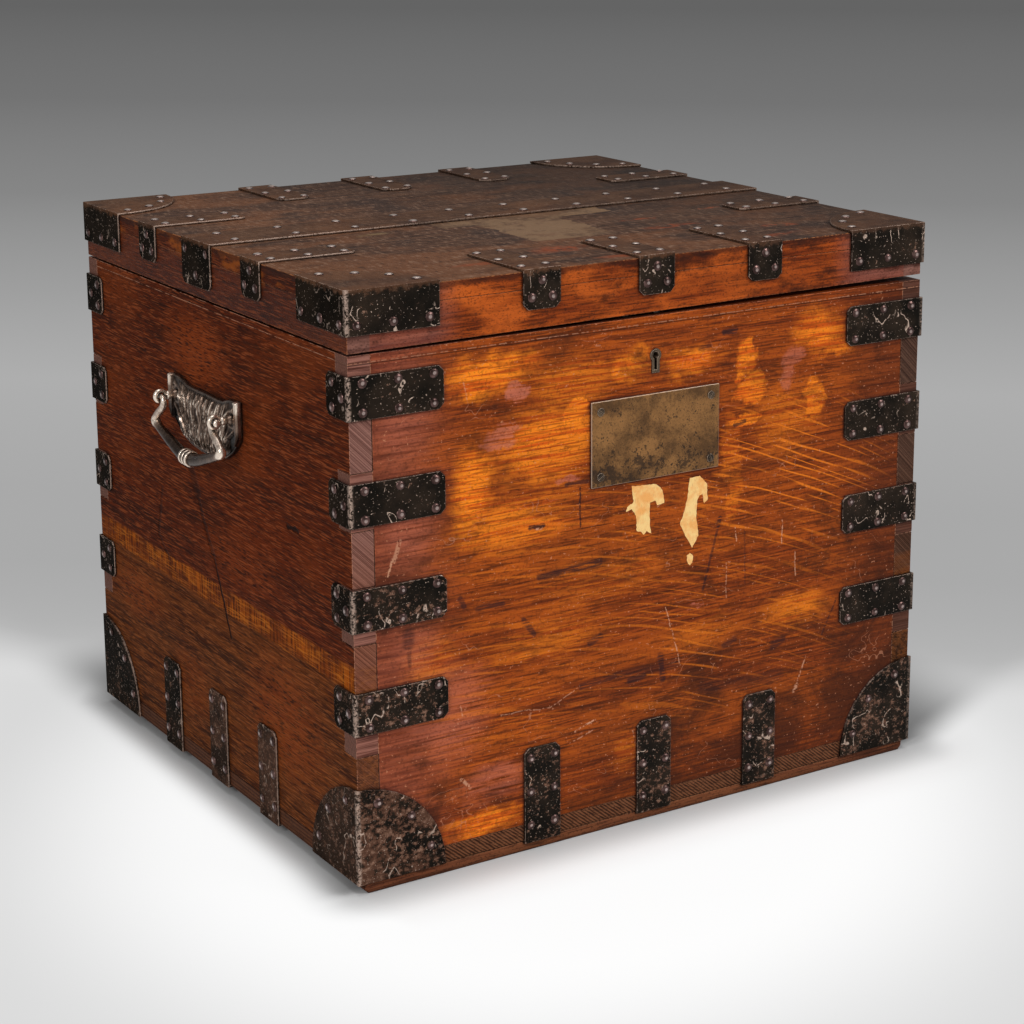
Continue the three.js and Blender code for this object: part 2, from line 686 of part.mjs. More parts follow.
function makeHinges() {
  const lidKnuckle = (strapWidth * knuckleShare) / 2;
  const caseKnuckle = lidKnuckle + knuckleGap;
  const clear = knuckleRadius + knuckleGap;
  for (const [name, middle] of [['left', -lidStrapPitch], ['right', lidStrapPitch]]) {
    const strapRange = [middle - strapWidth / 2, middle + strapWidth / 2];
    const lidRange = [middle - lidKnuckle, middle + lidKnuckle];
    const caseRanges = [[strapRange[0], middle - caseKnuckle], [middle + caseKnuckle, strapRange[1]]];
    const plateDepth = [halfDepth + seatGap, halfDepth + ironReach];
    const boreRange = [strapRange[0] - strapWidth, strapRange[1] + strapWidth];
    const bore = hingeCylinder(hingePinRadius + pinClearance, boreRange);
    const leafTop = lidTop + ironReach;
    const place = faces.back.across.x * middle;

    const lidLeaf = join([
      box(strapRange, plateDepth, [hingeAxisHeight + clear, leafTop]),
      box(lidRange, plateDepth, [hingeAxisHeight, hingeAxisHeight + 2 * clear]),
      hingeCylinder(knuckleRadius, lidRange),
      ...topLeg(-1, middle, roundClip),
      ...dropNails('back', place, strapWidth, lidStrapDrop, false),
    ]);
    addPiece(lidGroup, `hinge_lid_leaf_${name}`, cut(lidLeaf, [bore]), japannedIron);

    const nailHeights = nailRuns(caseLeafLength, clear + nailBendInset).map((fall) => hingeAxisHeight - fall);
    const caseLeaf = join([
      ironPlate(strip('along', hingeAxisHeight - clear, hingeAxisHeight - caseLeafLength,
        place, strapWidth, cornerClip), 'back'),
      ...caseRanges.map((range) => box(range, plateDepth, [hingeAxisHeight - 2 * clear, hingeAxisHeight])),
      ...caseRanges.map((range) => hingeCylinder(knuckleRadius, range)),
      ...nailRows('back', 'along', nailHeights, place, nailRowSpread),
    ]);
    addPiece(caseGroup, `hinge_case_leaf_${name}`, cut(caseLeaf, [bore]), japannedIron);

    const pinRange = [strapRange[0] - hingePinOverhang, strapRange[1] + hingePinOverhang];
    addPiece(caseGroup, `hinge_pin_${name}`, hingeCylinder(hingePinRadius, pinRange), steel);
  }
}

// A rod of changing thickness along a path in the handle's plane: across, up and radius for each ring
function sweptRod(rings, sides) {
  const positions = [];
  const indices = [];
  rings.forEach(([across, rise, radius], ring) => {
    const before = rings[Math.max(ring - 1, 0)];
    const after = rings[Math.min(ring + 1, rings.length - 1)];
    const heading = new THREE.Vector2(after[0] - before[0], after[1] - before[1]).normalize();
    for (let side = 0; side < sides; side += 1) {
      const angle = (side / sides) * 2 * Math.PI;
      const inPlane = Math.cos(angle) * radius;
      positions.push(across - heading.y * inPlane, rise + heading.x * inPlane, Math.sin(angle) * radius);
    }
  });
  for (let ring = 0; ring < rings.length - 1; ring += 1) {
    for (let side = 0; side < sides; side += 1) {
      const here = ring * sides + side;
      const next = ring * sides + ((side + 1) % sides);
      indices.push(here, next, here + sides, next, next + sides, here + sides);
    }
  }
  const last = (rings.length - 1) * sides;
  for (let side = 1; side < sides - 1; side += 1) {
    indices.push(0, side + 1, side, last, last + side, last + side + 1);
  }
  const rod = new THREE.BufferGeometry();
  rod.setAttribute('position', new THREE.BufferAttribute(new Float32Array(positions), 3));
  rod.setIndex(indices);
  rod.computeVertexNormals();
  return rod;
}

function bailRings() {
  const half = [];
  for (let collar = 0; collar < (collarCount + 1) / 2; collar += 1) {
    const middle = collar * collarPitch;
    for (const side of [-1, 1]) {
      const outer = [middle + side * (collarWidth / 2 + collarShoulder), -gripDrop, gripRadius];
      const inner = [middle + side * (collarWidth / 2), -gripDrop, collarRadius];
      half.push(...(side < 0 ? [outer, inner] : [inner, outer]));
    }
  }
  const eye = eyeSpacing / 2;
  const eyeFace = eye - eyeThickness / 2;
  const pinRadius = eyeHoleRadius - bailPinClearance;
  const pinEnd = eye + postRadius + bailEndPlay;
  half.push(
    ...gripHalf.map(([out, rise, radius]) => [eye + out, rise - gripDrop, radius]),
    ...armHalf.map(([out, rise, radius]) => [eyeFace + out, rise - eyeRadius, radius]),
    ...bendHalf.map(([out, rise, radius]) => [eyeFace + out, rise, radius]),
    [eyeFace, 0, pinRadius],
    [pinEnd, 0, pinRadius],
    [pinEnd + seatGap, 0, bailHeadRadius],
    [pinEnd + bailHeadLength, 0, bailHeadTip],
  );
  const kept = half.filter(([across]) => across > 0);
  const mirrored = kept.map(([across, rise, radius]) => [-across, rise, radius]).reverse();
  return [...mirrored, ...kept];
}

function handlePlate() {
  const half = [
    ...handlePlateWing.map(([out, rise]) => [eyeSpacing / 2 + out, rise]),
    ...handlePlateSkirt,
  ];
  const mirrored = half.map(([across, rise]) => [-across, rise]).reverse();
  const ends = [[0, handlePlateRise], ...half, [0, -handlePlateDrop], ...mirrored];
  const plate = new THREE.ExtrudeGeometry(outline(ends), {
    depth: handlePlateThickness - handlePlateBevel,
    bevelThickness: handlePlateBevel,
    bevelSize: handlePlateBevel,
    bevelOffset: -handlePlateBevel,
    bevelSegments: 1,
  }).translate(0, 0, handlePlateBevel);
  const underside = box([-eyeSpacing, eyeSpacing], [-eyeSpacing, eyeSpacing], [-handlePlateBevel, seatGap]);
  const pieces = [plate];
  for (let flute = 0; flute < fluteCount; flute += 1) {
    const share = flute / (fluteCount - 1) - 0.5;
    const top = new THREE.Vector2(share * fluteSpreadTop, fluteTop);
    const foot = new THREE.Vector2(share * fluteSpreadBottom, fluteBottom);
    const run = top.clone().sub(foot);
    const ridge = new THREE.ConeGeometry(fluteRadius, run.length(), fluteSides);
    ridge.rotateZ(Math.atan2(run.y, run.x) + Math.PI / 2);
    ridge.translate((top.x + foot.x) / 2, (top.y + foot.y) / 2, handlePlateThickness);
    pieces.push(ridge);
  }
  const holes = [underside];
  for (const side of [-1, 1]) {
    const middle = (side * eyeSpacing) / 2;
    const postLength = eyeStandOff - handlePlateBevel;
    const post = new THREE.CylinderGeometry(postRadius, postRadius, postLength, bailSides);
    post.rotateX(Math.PI / 2);
    pieces.push(post.translate(middle, 0, (eyeStandOff + handlePlateBevel) / 2));
    const eye = new THREE.CylinderGeometry(eyeRadius, eyeRadius, eyeThickness, knuckleSides);
    pieces.push(eye.rotateZ(Math.PI / 2).translate(middle, 0, eyeStandOff));
    const hole = new THREE.CylinderGeometry(eyeHoleRadius, eyeHoleRadius, 2 * eyeThickness, knuckleSides);
    holes.push(hole.rotateZ(Math.PI / 2).translate(middle, 0, eyeStandOff));
  }
  return cut(join(pieces), holes);
}

function makeHandles() {
  const plate = handlePlate();
  const bail = sweptRod(bailRings(), bailSides).translate(0, 0, eyeStandOff);
  for (const side of ['left', 'right']) {
    const place = (geometry) => ontoFace(geometry.clone().translate(0, handleAxisHeight, 0), side, 0);
    addPiece(caseGroup, `handle_plate_${side}`, place(plate), castIron);
    addPiece(caseGroup, `handle_bail_${side}`, place(bail), castIron);
  }
}

// Range of a staple along X, widened at both ends
function stapleRange(middle, ease) {
  return [middle - stapleWidth / 2 - ease, middle + stapleWidth / 2 + ease];
}

function makeLock() {
  const insideFront = -(halfDepth - wallThickness);
  const lockDepths = [insideFront - lockThickness, insideFront];
  const cavityDepths = [lockDepths[0] + lockWall, lockDepths[1] - lockWall];
  const cavityTop = lockTop - lockTopWall;
  const cavityX = [lockLeft + lockWall, lockRight - lockWall];
  const cavityLow = lockBottom + lockWall;
  const ledgeHeights = [boltBarBottom - seatGap - ledgeThickness, boltBarBottom - seatGap];
  const slotDepths = [lockMiddleDepth - stapleDepth / 2 - stapleClearance,
    lockMiddleDepth + stapleDepth / 2 + stapleClearance];
  // The cavity is cut in three heights, so that ledges for the bolt stay standing at both ends
  const lockCase = cut(box([lockLeft, lockRight], lockDepths, [lockBottom, lockTop]), [
    box(cavityX, cavityDepths, [cavityLow, ledgeHeights[0]]),
    box([leftLedgeEnd, rightLedgeStart], cavityDepths, [cavityLow, cavityTop]),
    box(cavityX, cavityDepths, [ledgeHeights[1], cavityTop]),
    ...stapleMiddles.map((middle) => box(stapleRange(middle, stapleClearance), slotDepths,
      [cavityTop - lockTopWall, lockTop + lockTopWall])),
    ontoFace(keyholeSlab(seatGap, lockThickness), 'front', -halfDepth - cavityDepths[0] - lockWall),
  ]);
  addPiece(caseGroup, 'lock_case', lockCase, brass);

  const eyeBottom = linkPlateLow - stapleLength + stapleFoot;
  const fingerMiddle = eyeBottom + stapleEyeHeight / 2;
  const fingerHeights = [fingerMiddle - boltFingerHeight / 2, fingerMiddle + boltFingerHeight / 2];
  const fingerDepths = [lockMiddleDepth - boltFingerWidth / 2, lockMiddleDepth + boltFingerWidth / 2];
  const barHalf = lockCavityDepth / 2 - boltSideClearance;
  const barDepths = [lockMiddleDepth - barHalf, lockMiddleDepth + barHalf];
  const barHeights = [boltBarBottom, boltBarBottom + boltBarHeight];
  const boltPieces = [box([boltBarLeft, boltBarRight], barDepths, barHeights)];
  for (const middle of stapleMiddles) {
    const tip = stapleRange(middle, boltReach)[0];
    const postEnd = tip + boltReach - boltThrow - boltPostClearance;
    boltPieces.push(box([postEnd - boltPostWidth, tip], fingerDepths, fingerHeights));
    boltPieces.push(box([postEnd - boltPostWidth, postEnd], fingerDepths,
      [boltBarBottom + boltBarHeight / 2, fingerHeights[1]]));
  }
  const talon = box([-talonWidth / 2, talonWidth / 2], [barDepths[0] - lockWall, barDepths[1] + lockWall],
    [boltBarBottom - talonDepth, boltBarBottom + talonDepth]);
  addPiece(caseGroup, 'lock_bolt', cut(join(boltPieces), [talon]), steel);

  const linkPieces = [box(
    [linkPlateMiddle - linkPlateWidth / 2, linkPlateMiddle + linkPlateWidth / 2],
    [lockMiddleDepth - linkPlateDepth / 2, lockMiddleDepth + linkPlateDepth / 2],
    [linkPlateLow, linkPlateLow + linkPlateThickness],
  )];
  const eyes = [];
  for (const middle of stapleMiddles) {
    linkPieces.push(box(stapleRange(middle, 0),
      [lockMiddleDepth - stapleDepth / 2, lockMiddleDepth + stapleDepth / 2],
      [linkPlateLow - stapleLength, linkPlateLow + linkPlateThickness / 2]));
    eyes.push(box(stapleRange(middle, stapleWidth),
      [lockMiddleDepth - stapleEyeWidth / 2, lockMiddleDepth + stapleEyeWidth / 2],
      [eyeBottom, eyeBottom + stapleEyeHeight]));
  }
  addPiece(lidGroup, 'link_plate', cut(join(linkPieces), eyes), steel);
}

function makeEscutcheon() {
  const length = wallThickness - lockThickness - 2 * seatGap + linerProud;
  const hole = keyholeSlab(0, length + 2 * linerProud).translate(0, 0, -linerProud);
  const liner = cut(keyholeSlab(linerWall, length), [hole]);
  addPiece(caseGroup, 'escutcheon', ontoFace(liner, 'front', linerProud - length), brass);
}

function makeNamePlate() {
  const halfX = namePlateWidth / 2;
  const halfZ = namePlateHeight / 2;
  const plate = slab(outline([[-halfX, -halfZ], [halfX, -halfZ], [halfX, halfZ], [-halfX, halfZ]]),
    namePlateThickness);
  const pieces = [plate];
  for (const sideX of [-1, 1]) {
    for (const sideZ of [-1, 1]) {
      const screw = new THREE.CylinderGeometry(plateScrewTopRadius, plateScrewRadius,
        plateScrewHeight * 2, plateScrewSides).rotateX(Math.PI / 2);
      pieces.push(screw.translate(sideX * (halfX - plateScrewInset), sideZ * (halfZ - plateScrewInset),
        namePlateThickness));
    }
  }
  const whole = join(pieces).translate(0, caseHeight - namePlateDrop, 0);
  addPiece(caseGroup, 'name_plate', ontoFace(whole, 'front', seatGap), brass);
}

makeCase();
makeRunners();
makeLining();
makeLid();
makeCornerStraps();
makeBaseCorners();
makeLidCorners();
makeLidStraps();
makeCrossStrap();
makeBaseCradle();
makeHinges();
makeHandles();
makeLock();
makeEscutcheon();
makeNamePlate();

chest.add(caseGroup, lidGroup);
chest.position.set(0, (frontReach - backReach) / 2, floorDrop);
export default chest;
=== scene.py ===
import functools
import itertools
import json
import math
import random
from collections import namedtuple

import bmesh
import bpy
from mathutils import Matrix, Vector, noise

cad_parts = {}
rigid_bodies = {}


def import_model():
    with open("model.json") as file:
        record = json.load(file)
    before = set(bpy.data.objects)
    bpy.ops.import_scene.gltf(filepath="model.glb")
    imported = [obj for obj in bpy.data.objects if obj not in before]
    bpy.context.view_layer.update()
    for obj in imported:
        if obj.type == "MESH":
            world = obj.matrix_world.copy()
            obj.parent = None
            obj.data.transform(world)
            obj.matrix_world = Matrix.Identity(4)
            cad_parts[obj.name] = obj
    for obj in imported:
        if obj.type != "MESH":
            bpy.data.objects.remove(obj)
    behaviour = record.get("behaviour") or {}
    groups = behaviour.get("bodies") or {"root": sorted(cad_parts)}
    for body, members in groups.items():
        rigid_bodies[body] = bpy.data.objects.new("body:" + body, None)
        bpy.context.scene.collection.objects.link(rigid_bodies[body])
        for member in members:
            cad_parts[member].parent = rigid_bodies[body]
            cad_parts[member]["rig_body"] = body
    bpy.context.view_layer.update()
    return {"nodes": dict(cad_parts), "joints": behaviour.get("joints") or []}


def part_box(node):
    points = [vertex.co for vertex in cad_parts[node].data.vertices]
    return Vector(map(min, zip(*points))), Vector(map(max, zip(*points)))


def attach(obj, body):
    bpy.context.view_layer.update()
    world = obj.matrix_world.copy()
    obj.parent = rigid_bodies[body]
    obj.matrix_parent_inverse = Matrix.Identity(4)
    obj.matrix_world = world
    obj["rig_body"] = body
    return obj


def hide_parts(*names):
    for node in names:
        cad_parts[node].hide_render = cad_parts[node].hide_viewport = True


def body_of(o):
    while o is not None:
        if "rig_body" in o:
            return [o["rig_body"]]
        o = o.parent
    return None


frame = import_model()
nodes = frame["nodes"]
random.seed(11)
noise.seed_set(11)

MM = 0.001

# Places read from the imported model
front_low, front_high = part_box("case_front")
FRONT = front_low.y
RIM = front_high.z
HALF_WIDTH = front_high.x
WALL = front_high.y - front_low.y
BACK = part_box("case_back")[1].y
MIDDLE_Y = (FRONT + BACK) / 2
BOARD_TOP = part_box("lid_board_front")[1].z
CASE_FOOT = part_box("case_bottom")[0].z
IRON_OUT = 2.3 * MM  # wood to the outer face of the iron
NAIL_RISE = 1.7 * MM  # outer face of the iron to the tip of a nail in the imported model

# Edges of painted spots: where the full strength starts, as a share of the reach
SMALL_SPOT = 24  # in millimetres: spots that reach less than this have firm edges
FIRM_SPOT = 0.7
SOFT_SPOT = 0.25


def tone(red, green, blue):
    """A colour written as it shows on screen, in the form that a shader takes."""
    def linear(value):
        value /= 255
        return value / 12.92 if value <= 0.04045 else ((value + 0.055) / 1.055) ** 2.4
    return (linear(red), linear(green), linear(blue), 1.0)


class Field:
    """A value or colour that varies over a surface. A value takes part in sums like a number."""

    def __init__(self, shader, socket):
        self.shader = shader
        self.socket = socket

    def __add__(self, other):
        return self.shader.math("ADD", self, other)

    def __sub__(self, other):
        return self.shader.math("SUBTRACT", self, other)

    def __rsub__(self, other):
        return self.shader.math("SUBTRACT", other, self)

    def __mul__(self, other):
        return self.shader.math("MULTIPLY", self, other)

    def __abs__(self):
        return self.shader.math("ABSOLUTE", self)

    __radd__ = __add__
    __rmul__ = __mul__

    def step(self, low, high):
        """0 below low and 1 above high, smooth between them."""
        made = self.shader.add("ShaderNodeMapRange", {"Value": self, "From Min": low, "From Max": high},
                               interpolation_type="SMOOTHSTEP", clamp=False)
        return Field(self.shader, made.outputs[0])

    def near(self, place, half_width):
        """1 where the value is at a place, and 0 further off than half the width."""
        return abs(self - place).step(half_width, 0.4 * half_width)

    def tones(self, low, high, first, second):
        """One colour where the value is below low, and another where it is above high."""
        return self.shader.mix(self.step(low, high), first, second)

    def tint(self, share, other):
        """This colour, mixed with a share of another."""
        return self.shader.mix(share, self, other)

    def layers(self, *rows):
        """This colour under layers of others: share and colour of each."""
        colour = self
        for share, other in rows:
            colour = colour.tint(share, other)
        return colour


class Shader:
    """One procedural material, built from sums over places of the chest at rest."""

    def __init__(self, name):
        self.material = bpy.data.materials.new(name)
        self.material.use_nodes = True
        self.tree = self.material.node_tree
        self.tree.nodes.clear()
        where = self.add("ShaderNodeTexCoord")
        self.place = Field(self, where.outputs["Object"])
        self.axes = self.split(self.place)
        turned = self.split(Field(self, where.outputs["Normal"]))
        self.turned_back = turned[1]
        self.facing = [abs(part) for part in turned]

    def add(self, kind, inputs=None, **settings):
        made = self.tree.nodes.new(kind)
        for key, value in settings.items():
            setattr(made, key, value)
        for key, value in (inputs or {}).items():
            self.feed(made.inputs[key], value)
        return made

    def feed(self, socket, value):
        if isinstance(value, Field):
            self.tree.links.new(value.socket, socket)
        else:
            socket.default_value = value

    def split(self, vector):
        parts = self.add("ShaderNodeSeparateXYZ", {0: vector})
        return [Field(self, part) for part in parts.outputs]

    def math(self, operation, *values):
        made = self.add("ShaderNodeMath", dict(enumerate(values)), operation=operation)
        return Field(self, made.outputs[0])

    def vector_math(self, operation, *values, output=0):
        made = self.add("ShaderNodeVectorMath", dict(enumerate(values)), operation=operation)
        return Field(self, made.outputs[output])

    def vector(self, x, y, z):
        return Field(self, self.add("ShaderNodeCombineXYZ", {0: x, 1: y, 2: z}).outputs[0])

    def noise(self, stretch, detail=2.0, roughness=0.5, distortion=0.0, seed=0.0, at=None):
        """Noise from 0 to 1, with stretch in repeats per metre, along each axis or the same for all."""
        if not isinstance(stretch, tuple):
            stretch = (stretch, stretch, stretch)
        moved = (seed, 1.7 * seed, 0.6 * seed)
        where = self.vector_math("MULTIPLY_ADD", at or self.place, stretch, moved)
        made = self.add("ShaderNodeTexNoise", {
            "Vector": where, "Scale": 1.0, "Detail": detail, "Roughness": roughness, "Distortion": distortion,
        })
        return Field(self, made.outputs[0])

    def looks(self, axis):
        """1 where the surface faces along an axis, either way."""
        return self.facing["xyz".index(axis)].step(0.5, 0.8)

    def wave(self, value, pitch):
        """A wave from -1 to 1 along a value, with its pitch in metres."""
        return self.math("SINE", value * (2 * math.pi / pitch))

    def corner_dirt_and_shade(self, colour, dirt, reach):
        """Darkening in corners and beside other parts, within a reach in metres, read from ambient occlusion:
        dirt gathered there, and painted shade.
        """
        shut = self.add("ShaderNodeAmbientOcclusion", {"Distance": reach}, samples=4)
        open_share = Field(self, shut.outputs["AO"])
        return colour.tint(open_share.step(0.95, 0.45) * 0.8, dirt)

    def most(self, values):
        return functools.reduce(lambda whole, value: self.math("MAXIMUM", whole, value), values)

    def mix(self, share, first, second):
        """Two colours mixed by the share of the second. A colour is a field, or its three screen values."""
        first, second = (tone(*colour) if isinstance(colour, tuple) else colour for colour in (first, second))
        made = self.add("ShaderNodeMix", {0: share, 6: first, 7: second}, data_type="RGBA")
        return Field(self, made.outputs[2])

    def patch(self, flat, spot):
        """1 in the middle of an oval spot: middle across and up, and reach across and up, in millimetres."""
        across, rise, reach_across, reach_rise, strength = spot
        shrink = (1 / (reach_across * MM), 1 / (reach_rise * MM), 0)
        moved = (-across / reach_across, -rise / reach_rise, 0)
        away = self.vector_math("LENGTH", self.vector_math("MULTIPLY_ADD", flat, shrink, moved), output=1)
        firm = FIRM_SPOT if reach_across < SMALL_SPOT else SOFT_SPOT
        return away.step(1.0, firm) * strength

    def stroke(self, flat, mark):
        """1 along a line from one place to another, in millimetres, with its half width and strength."""
        start_u, start_v, end_u, end_v, half_width, strength = mark
        run = Vector(((end_u - start_u) * MM, (end_v - start_v) * MM, 0))
        offset = self.vector_math("SUBTRACT", flat, (start_u * MM, start_v * MM, 0))
        share = self.vector_math("DOT_PRODUCT", offset, tuple(run / run.length_squared), output=1)
        held = self.math("MINIMUM", self.math("MAXIMUM", share, 0.0), 1.0)
        along = self.vector_math("MULTIPLY", self.vector(held, held, 0), tuple(run))
        away = self.vector_math("DISTANCE", offset, along, output=1)
        return away.step(half_width * MM, 0.35 * half_width * MM) * strength

    def marks(self, draw, flat, places):
        """The strongest of many spots or strokes, gathered one by one."""
        return self.most(draw(flat, place) for place in places)

    def finish(self, colour, roughness, height, depth, metallic=0.0, shine=0.5, **sockets):
        """Gives the surface its finish. Height is a bump of the given depth in millimetres."""
        bump = self.add("ShaderNodeBump", {"Height": height, "Distance": depth * MM})
        surface = self.add("ShaderNodeBsdfPrincipled", {
            "Base Color": colour, "Roughness": roughness, "Metallic": metallic, "Specular IOR Level": shine,
            "Normal": Field(self, bump.outputs[0]),
            **{key.replace("_", " "): value for key, value in sockets.items()},
        })
        out = self.add("ShaderNodeOutputMaterial")
        self.tree.links.new(surface.outputs[0], out.inputs[0])
        return self.material

    def ragged(self):
        """Noise for the ragged outlines of marks."""
        return self.noise(60, detail=3, roughness=0.6, seed=4)

    def edge(self, low=0.04, high=0.2):
        """1 on rounded edges and 0 on flat faces."""
        return (1.0 - self.most(self.facing)).step(low, high)


# Oak

# Repeats per metre of the grain, along a board and across it
BAND = (2.0, 26)
STREAK = (8, 190)
FINE_STREAK = (16, 470)
PORE = (42, 640)
WOOD_SHINE = 0.05  # old wax: a low polish
SIDE_SHINE = 0.02
IRON_SHINE = 0.04


def along_grain(axis, repeats):
    run, side = repeats
    return tuple(run if name == axis else side for name in "xyz")


Grain = namedtuple("Grain", "bands streaks fine pores")


def grain(shader, axis, seed):
    """Bands, streaks, fine streaks and pores of a board whose grain runs along an axis."""
    return Grain(
        shader.noise(along_grain(axis, BAND), detail=3, roughness=0.6, distortion=0.5, seed=seed),
        shader.noise(along_grain(axis, STREAK), detail=4, roughness=0.65, distortion=0.2, seed=seed + 3),
        shader.noise(along_grain(axis, FINE_STREAK), detail=2, roughness=0.6, seed=seed + 5),
        shader.noise(along_grain(axis, PORE), detail=1, seed=seed + 9),
    )


def board_colour(parts, dark, middle, light, pore):
    """Colour of a board, from the tones of its darker and lighter wood and of its pores."""
    return parts.streaks.tones(0.34, 0.6, dark, middle).layers(
        (parts.bands.step(0.42, 0.7) * 0.75, light),
        (parts.fine.step(0.5, 0.66) * 0.7, light),
        (parts.fine.step(0.45, 0.33) * 0.5, pore),
        (parts.pores.step(0.54, 0.64) * 0.6, pore),
    )


# Places of wear on the front, in millimetres: middle across and up, reach across and up, strength
FRONT_GLOW = [
    (-178, 458, 62, 26, 1.0), (-197, 356, 30, 54, 1.0), (-120, 385, 76, 52, 0.8), (-89, 414, 14, 12, 0.9),
    (-91, 396, 12, 16, 0.7), (-150, 320, 80, 34, 0.65), (-28, 448, 34, 22, 0.8), (42, 446, 44, 20, 0.8),
    (102, 438, 15, 20, 0.85), (112, 408, 17, 18, 0.75), (190, 454, 44, 32, 0.8), (212, 437, 34, 12, 0.6),
    (190, 392, 15, 26, 0.7), (103, 379, 22, 7, 0.8), (88, 335, 12, 66, 0.35), (168, 178, 58, 22, 0.55),
    (-190, 40, 52, 18, 0.9), (-30, 73, 26, 30, 0.4), (-95, 440, 66, 34, 0.5), (150, 372, 56, 48, 0.32),
    (-60, 250, 120, 30, 0.2), (60, 175, 60, 24, 0.2), (-240, 205, 40, 30, 0.4), (-120, 200, 90, 22, 0.35),
]
FRONT_RAYS = [
    (150, 320, 160, 110, 1.0), (-90, 300, 190, 110, 0.45), (60, 180, 230, 120, 0.5),
    (-160, 180, 150, 120, 0.4),
]
RAY_PITCH = 8.6 * MM
FRONT_PINK = [
    (-152, 440, 16, 11, 0.8), (-168, 399, 21, 14, 0.7), (153, 420, 15, 22, 0.5), (-100, 349, 16, 5, 0.6),
    (51, 204, 10, 4, 0.7), (-262, 440, 46, 70, 0.35), (-262, 330, 40, 60, 0.4),
    (-255, 222, 30, 40, 0.3), (-225, 150, 60, 66, 0.45), (-175, 78, 46, 26, 0.5),
]
FRONT_DARK = [
    (-98, 346, -74, 347, 3, 0.7), (-127, 264, -61, 267, 5, 0.75), (-211, 258, -207, 250, 4, 0.6),
    (-193, 246, -166, 246, 3.5, 0.6), (-144, 227, -133, 211, 4, 0.7), (-72, 190, -60, 195, 5, 0.6),
    (-264, 235, -264, 226, 8, 0.55), (-263, 224, -263, 204, 3, 0.5), (-83, 148, -44, 152, 4, 0.6),
    (-27, 144, -11, 146, 5, 0.7), (76, 285, 57, 218, 2, 0.6), (76, 286, 74, 280, 4, 0.8),
    (8, 162, 11, 138, 5, 0.7), (84, 158, 96, 162, 5, 0.6), (143, 145, 154, 149, 6, 0.6),
    (221, 178, 204, 145, 1.6, 0.6), (78, 467, 92, 468, 4, 0.8), (51, 454, 61, 456, 4, 0.6),
    (-83, 341, -83, 304, 1.2, 0.8), (-137, 312, -123, 312, 3.2, 0.9), (92, 376, 104, 378, 3, 0.8),
    (106, 268, 107, 215, 1.2, 0.4), (-40, 152, 30, 150, 6, 0.35), (60, 120, 150, 112, 10, 0.3),
]
FRONT_PALE = [
    (-283, 292, -279, 306, 1.6, 0.8), (-277, 305, -271, 322, 3, 0.6), (-92, 106, -66, 113, 1.2, 0.9),
    (-90, 98, -68, 103, 0.9, 0.6), (-170, 140, -116, 136, 0.8, 0.5), (-116, 136, -84, 149, 0.8, 0.6),
    (-212, 86, -203, 77, 2.4, 0.8), (14, 210, 31, 148, 0.9, 0.7), (151, 272, 152, 250, 0.9, 0.8),
    (95, 275, 96, 260, 0.9, 0.7), (168, 237, 169, 213, 0.9, 0.7), (184, 126, 173, 99, 1.2, 0.7),
    (174, 100, 171, 93, 3, 0.7), (-130, 310, -124, 310, 1.4, 0.8), (-205, 455, -201, 441, 0.9, 0.5),
    (84, 240, 85, 205, 0.8, 0.5), (-24, 95, -16, 60, 0.9, 0.5), (-212, 158, -210, 148, 1.2, 0.5),
]
LIPPING = RIM - 6.8 * MM  # a scribed line below the rim
SCRIBED = HALF_WIDTH - WALL  # a scribed line where the fingers of the side walls end
SCRIBE = 0.6 * MM  # half the width of a scribed line


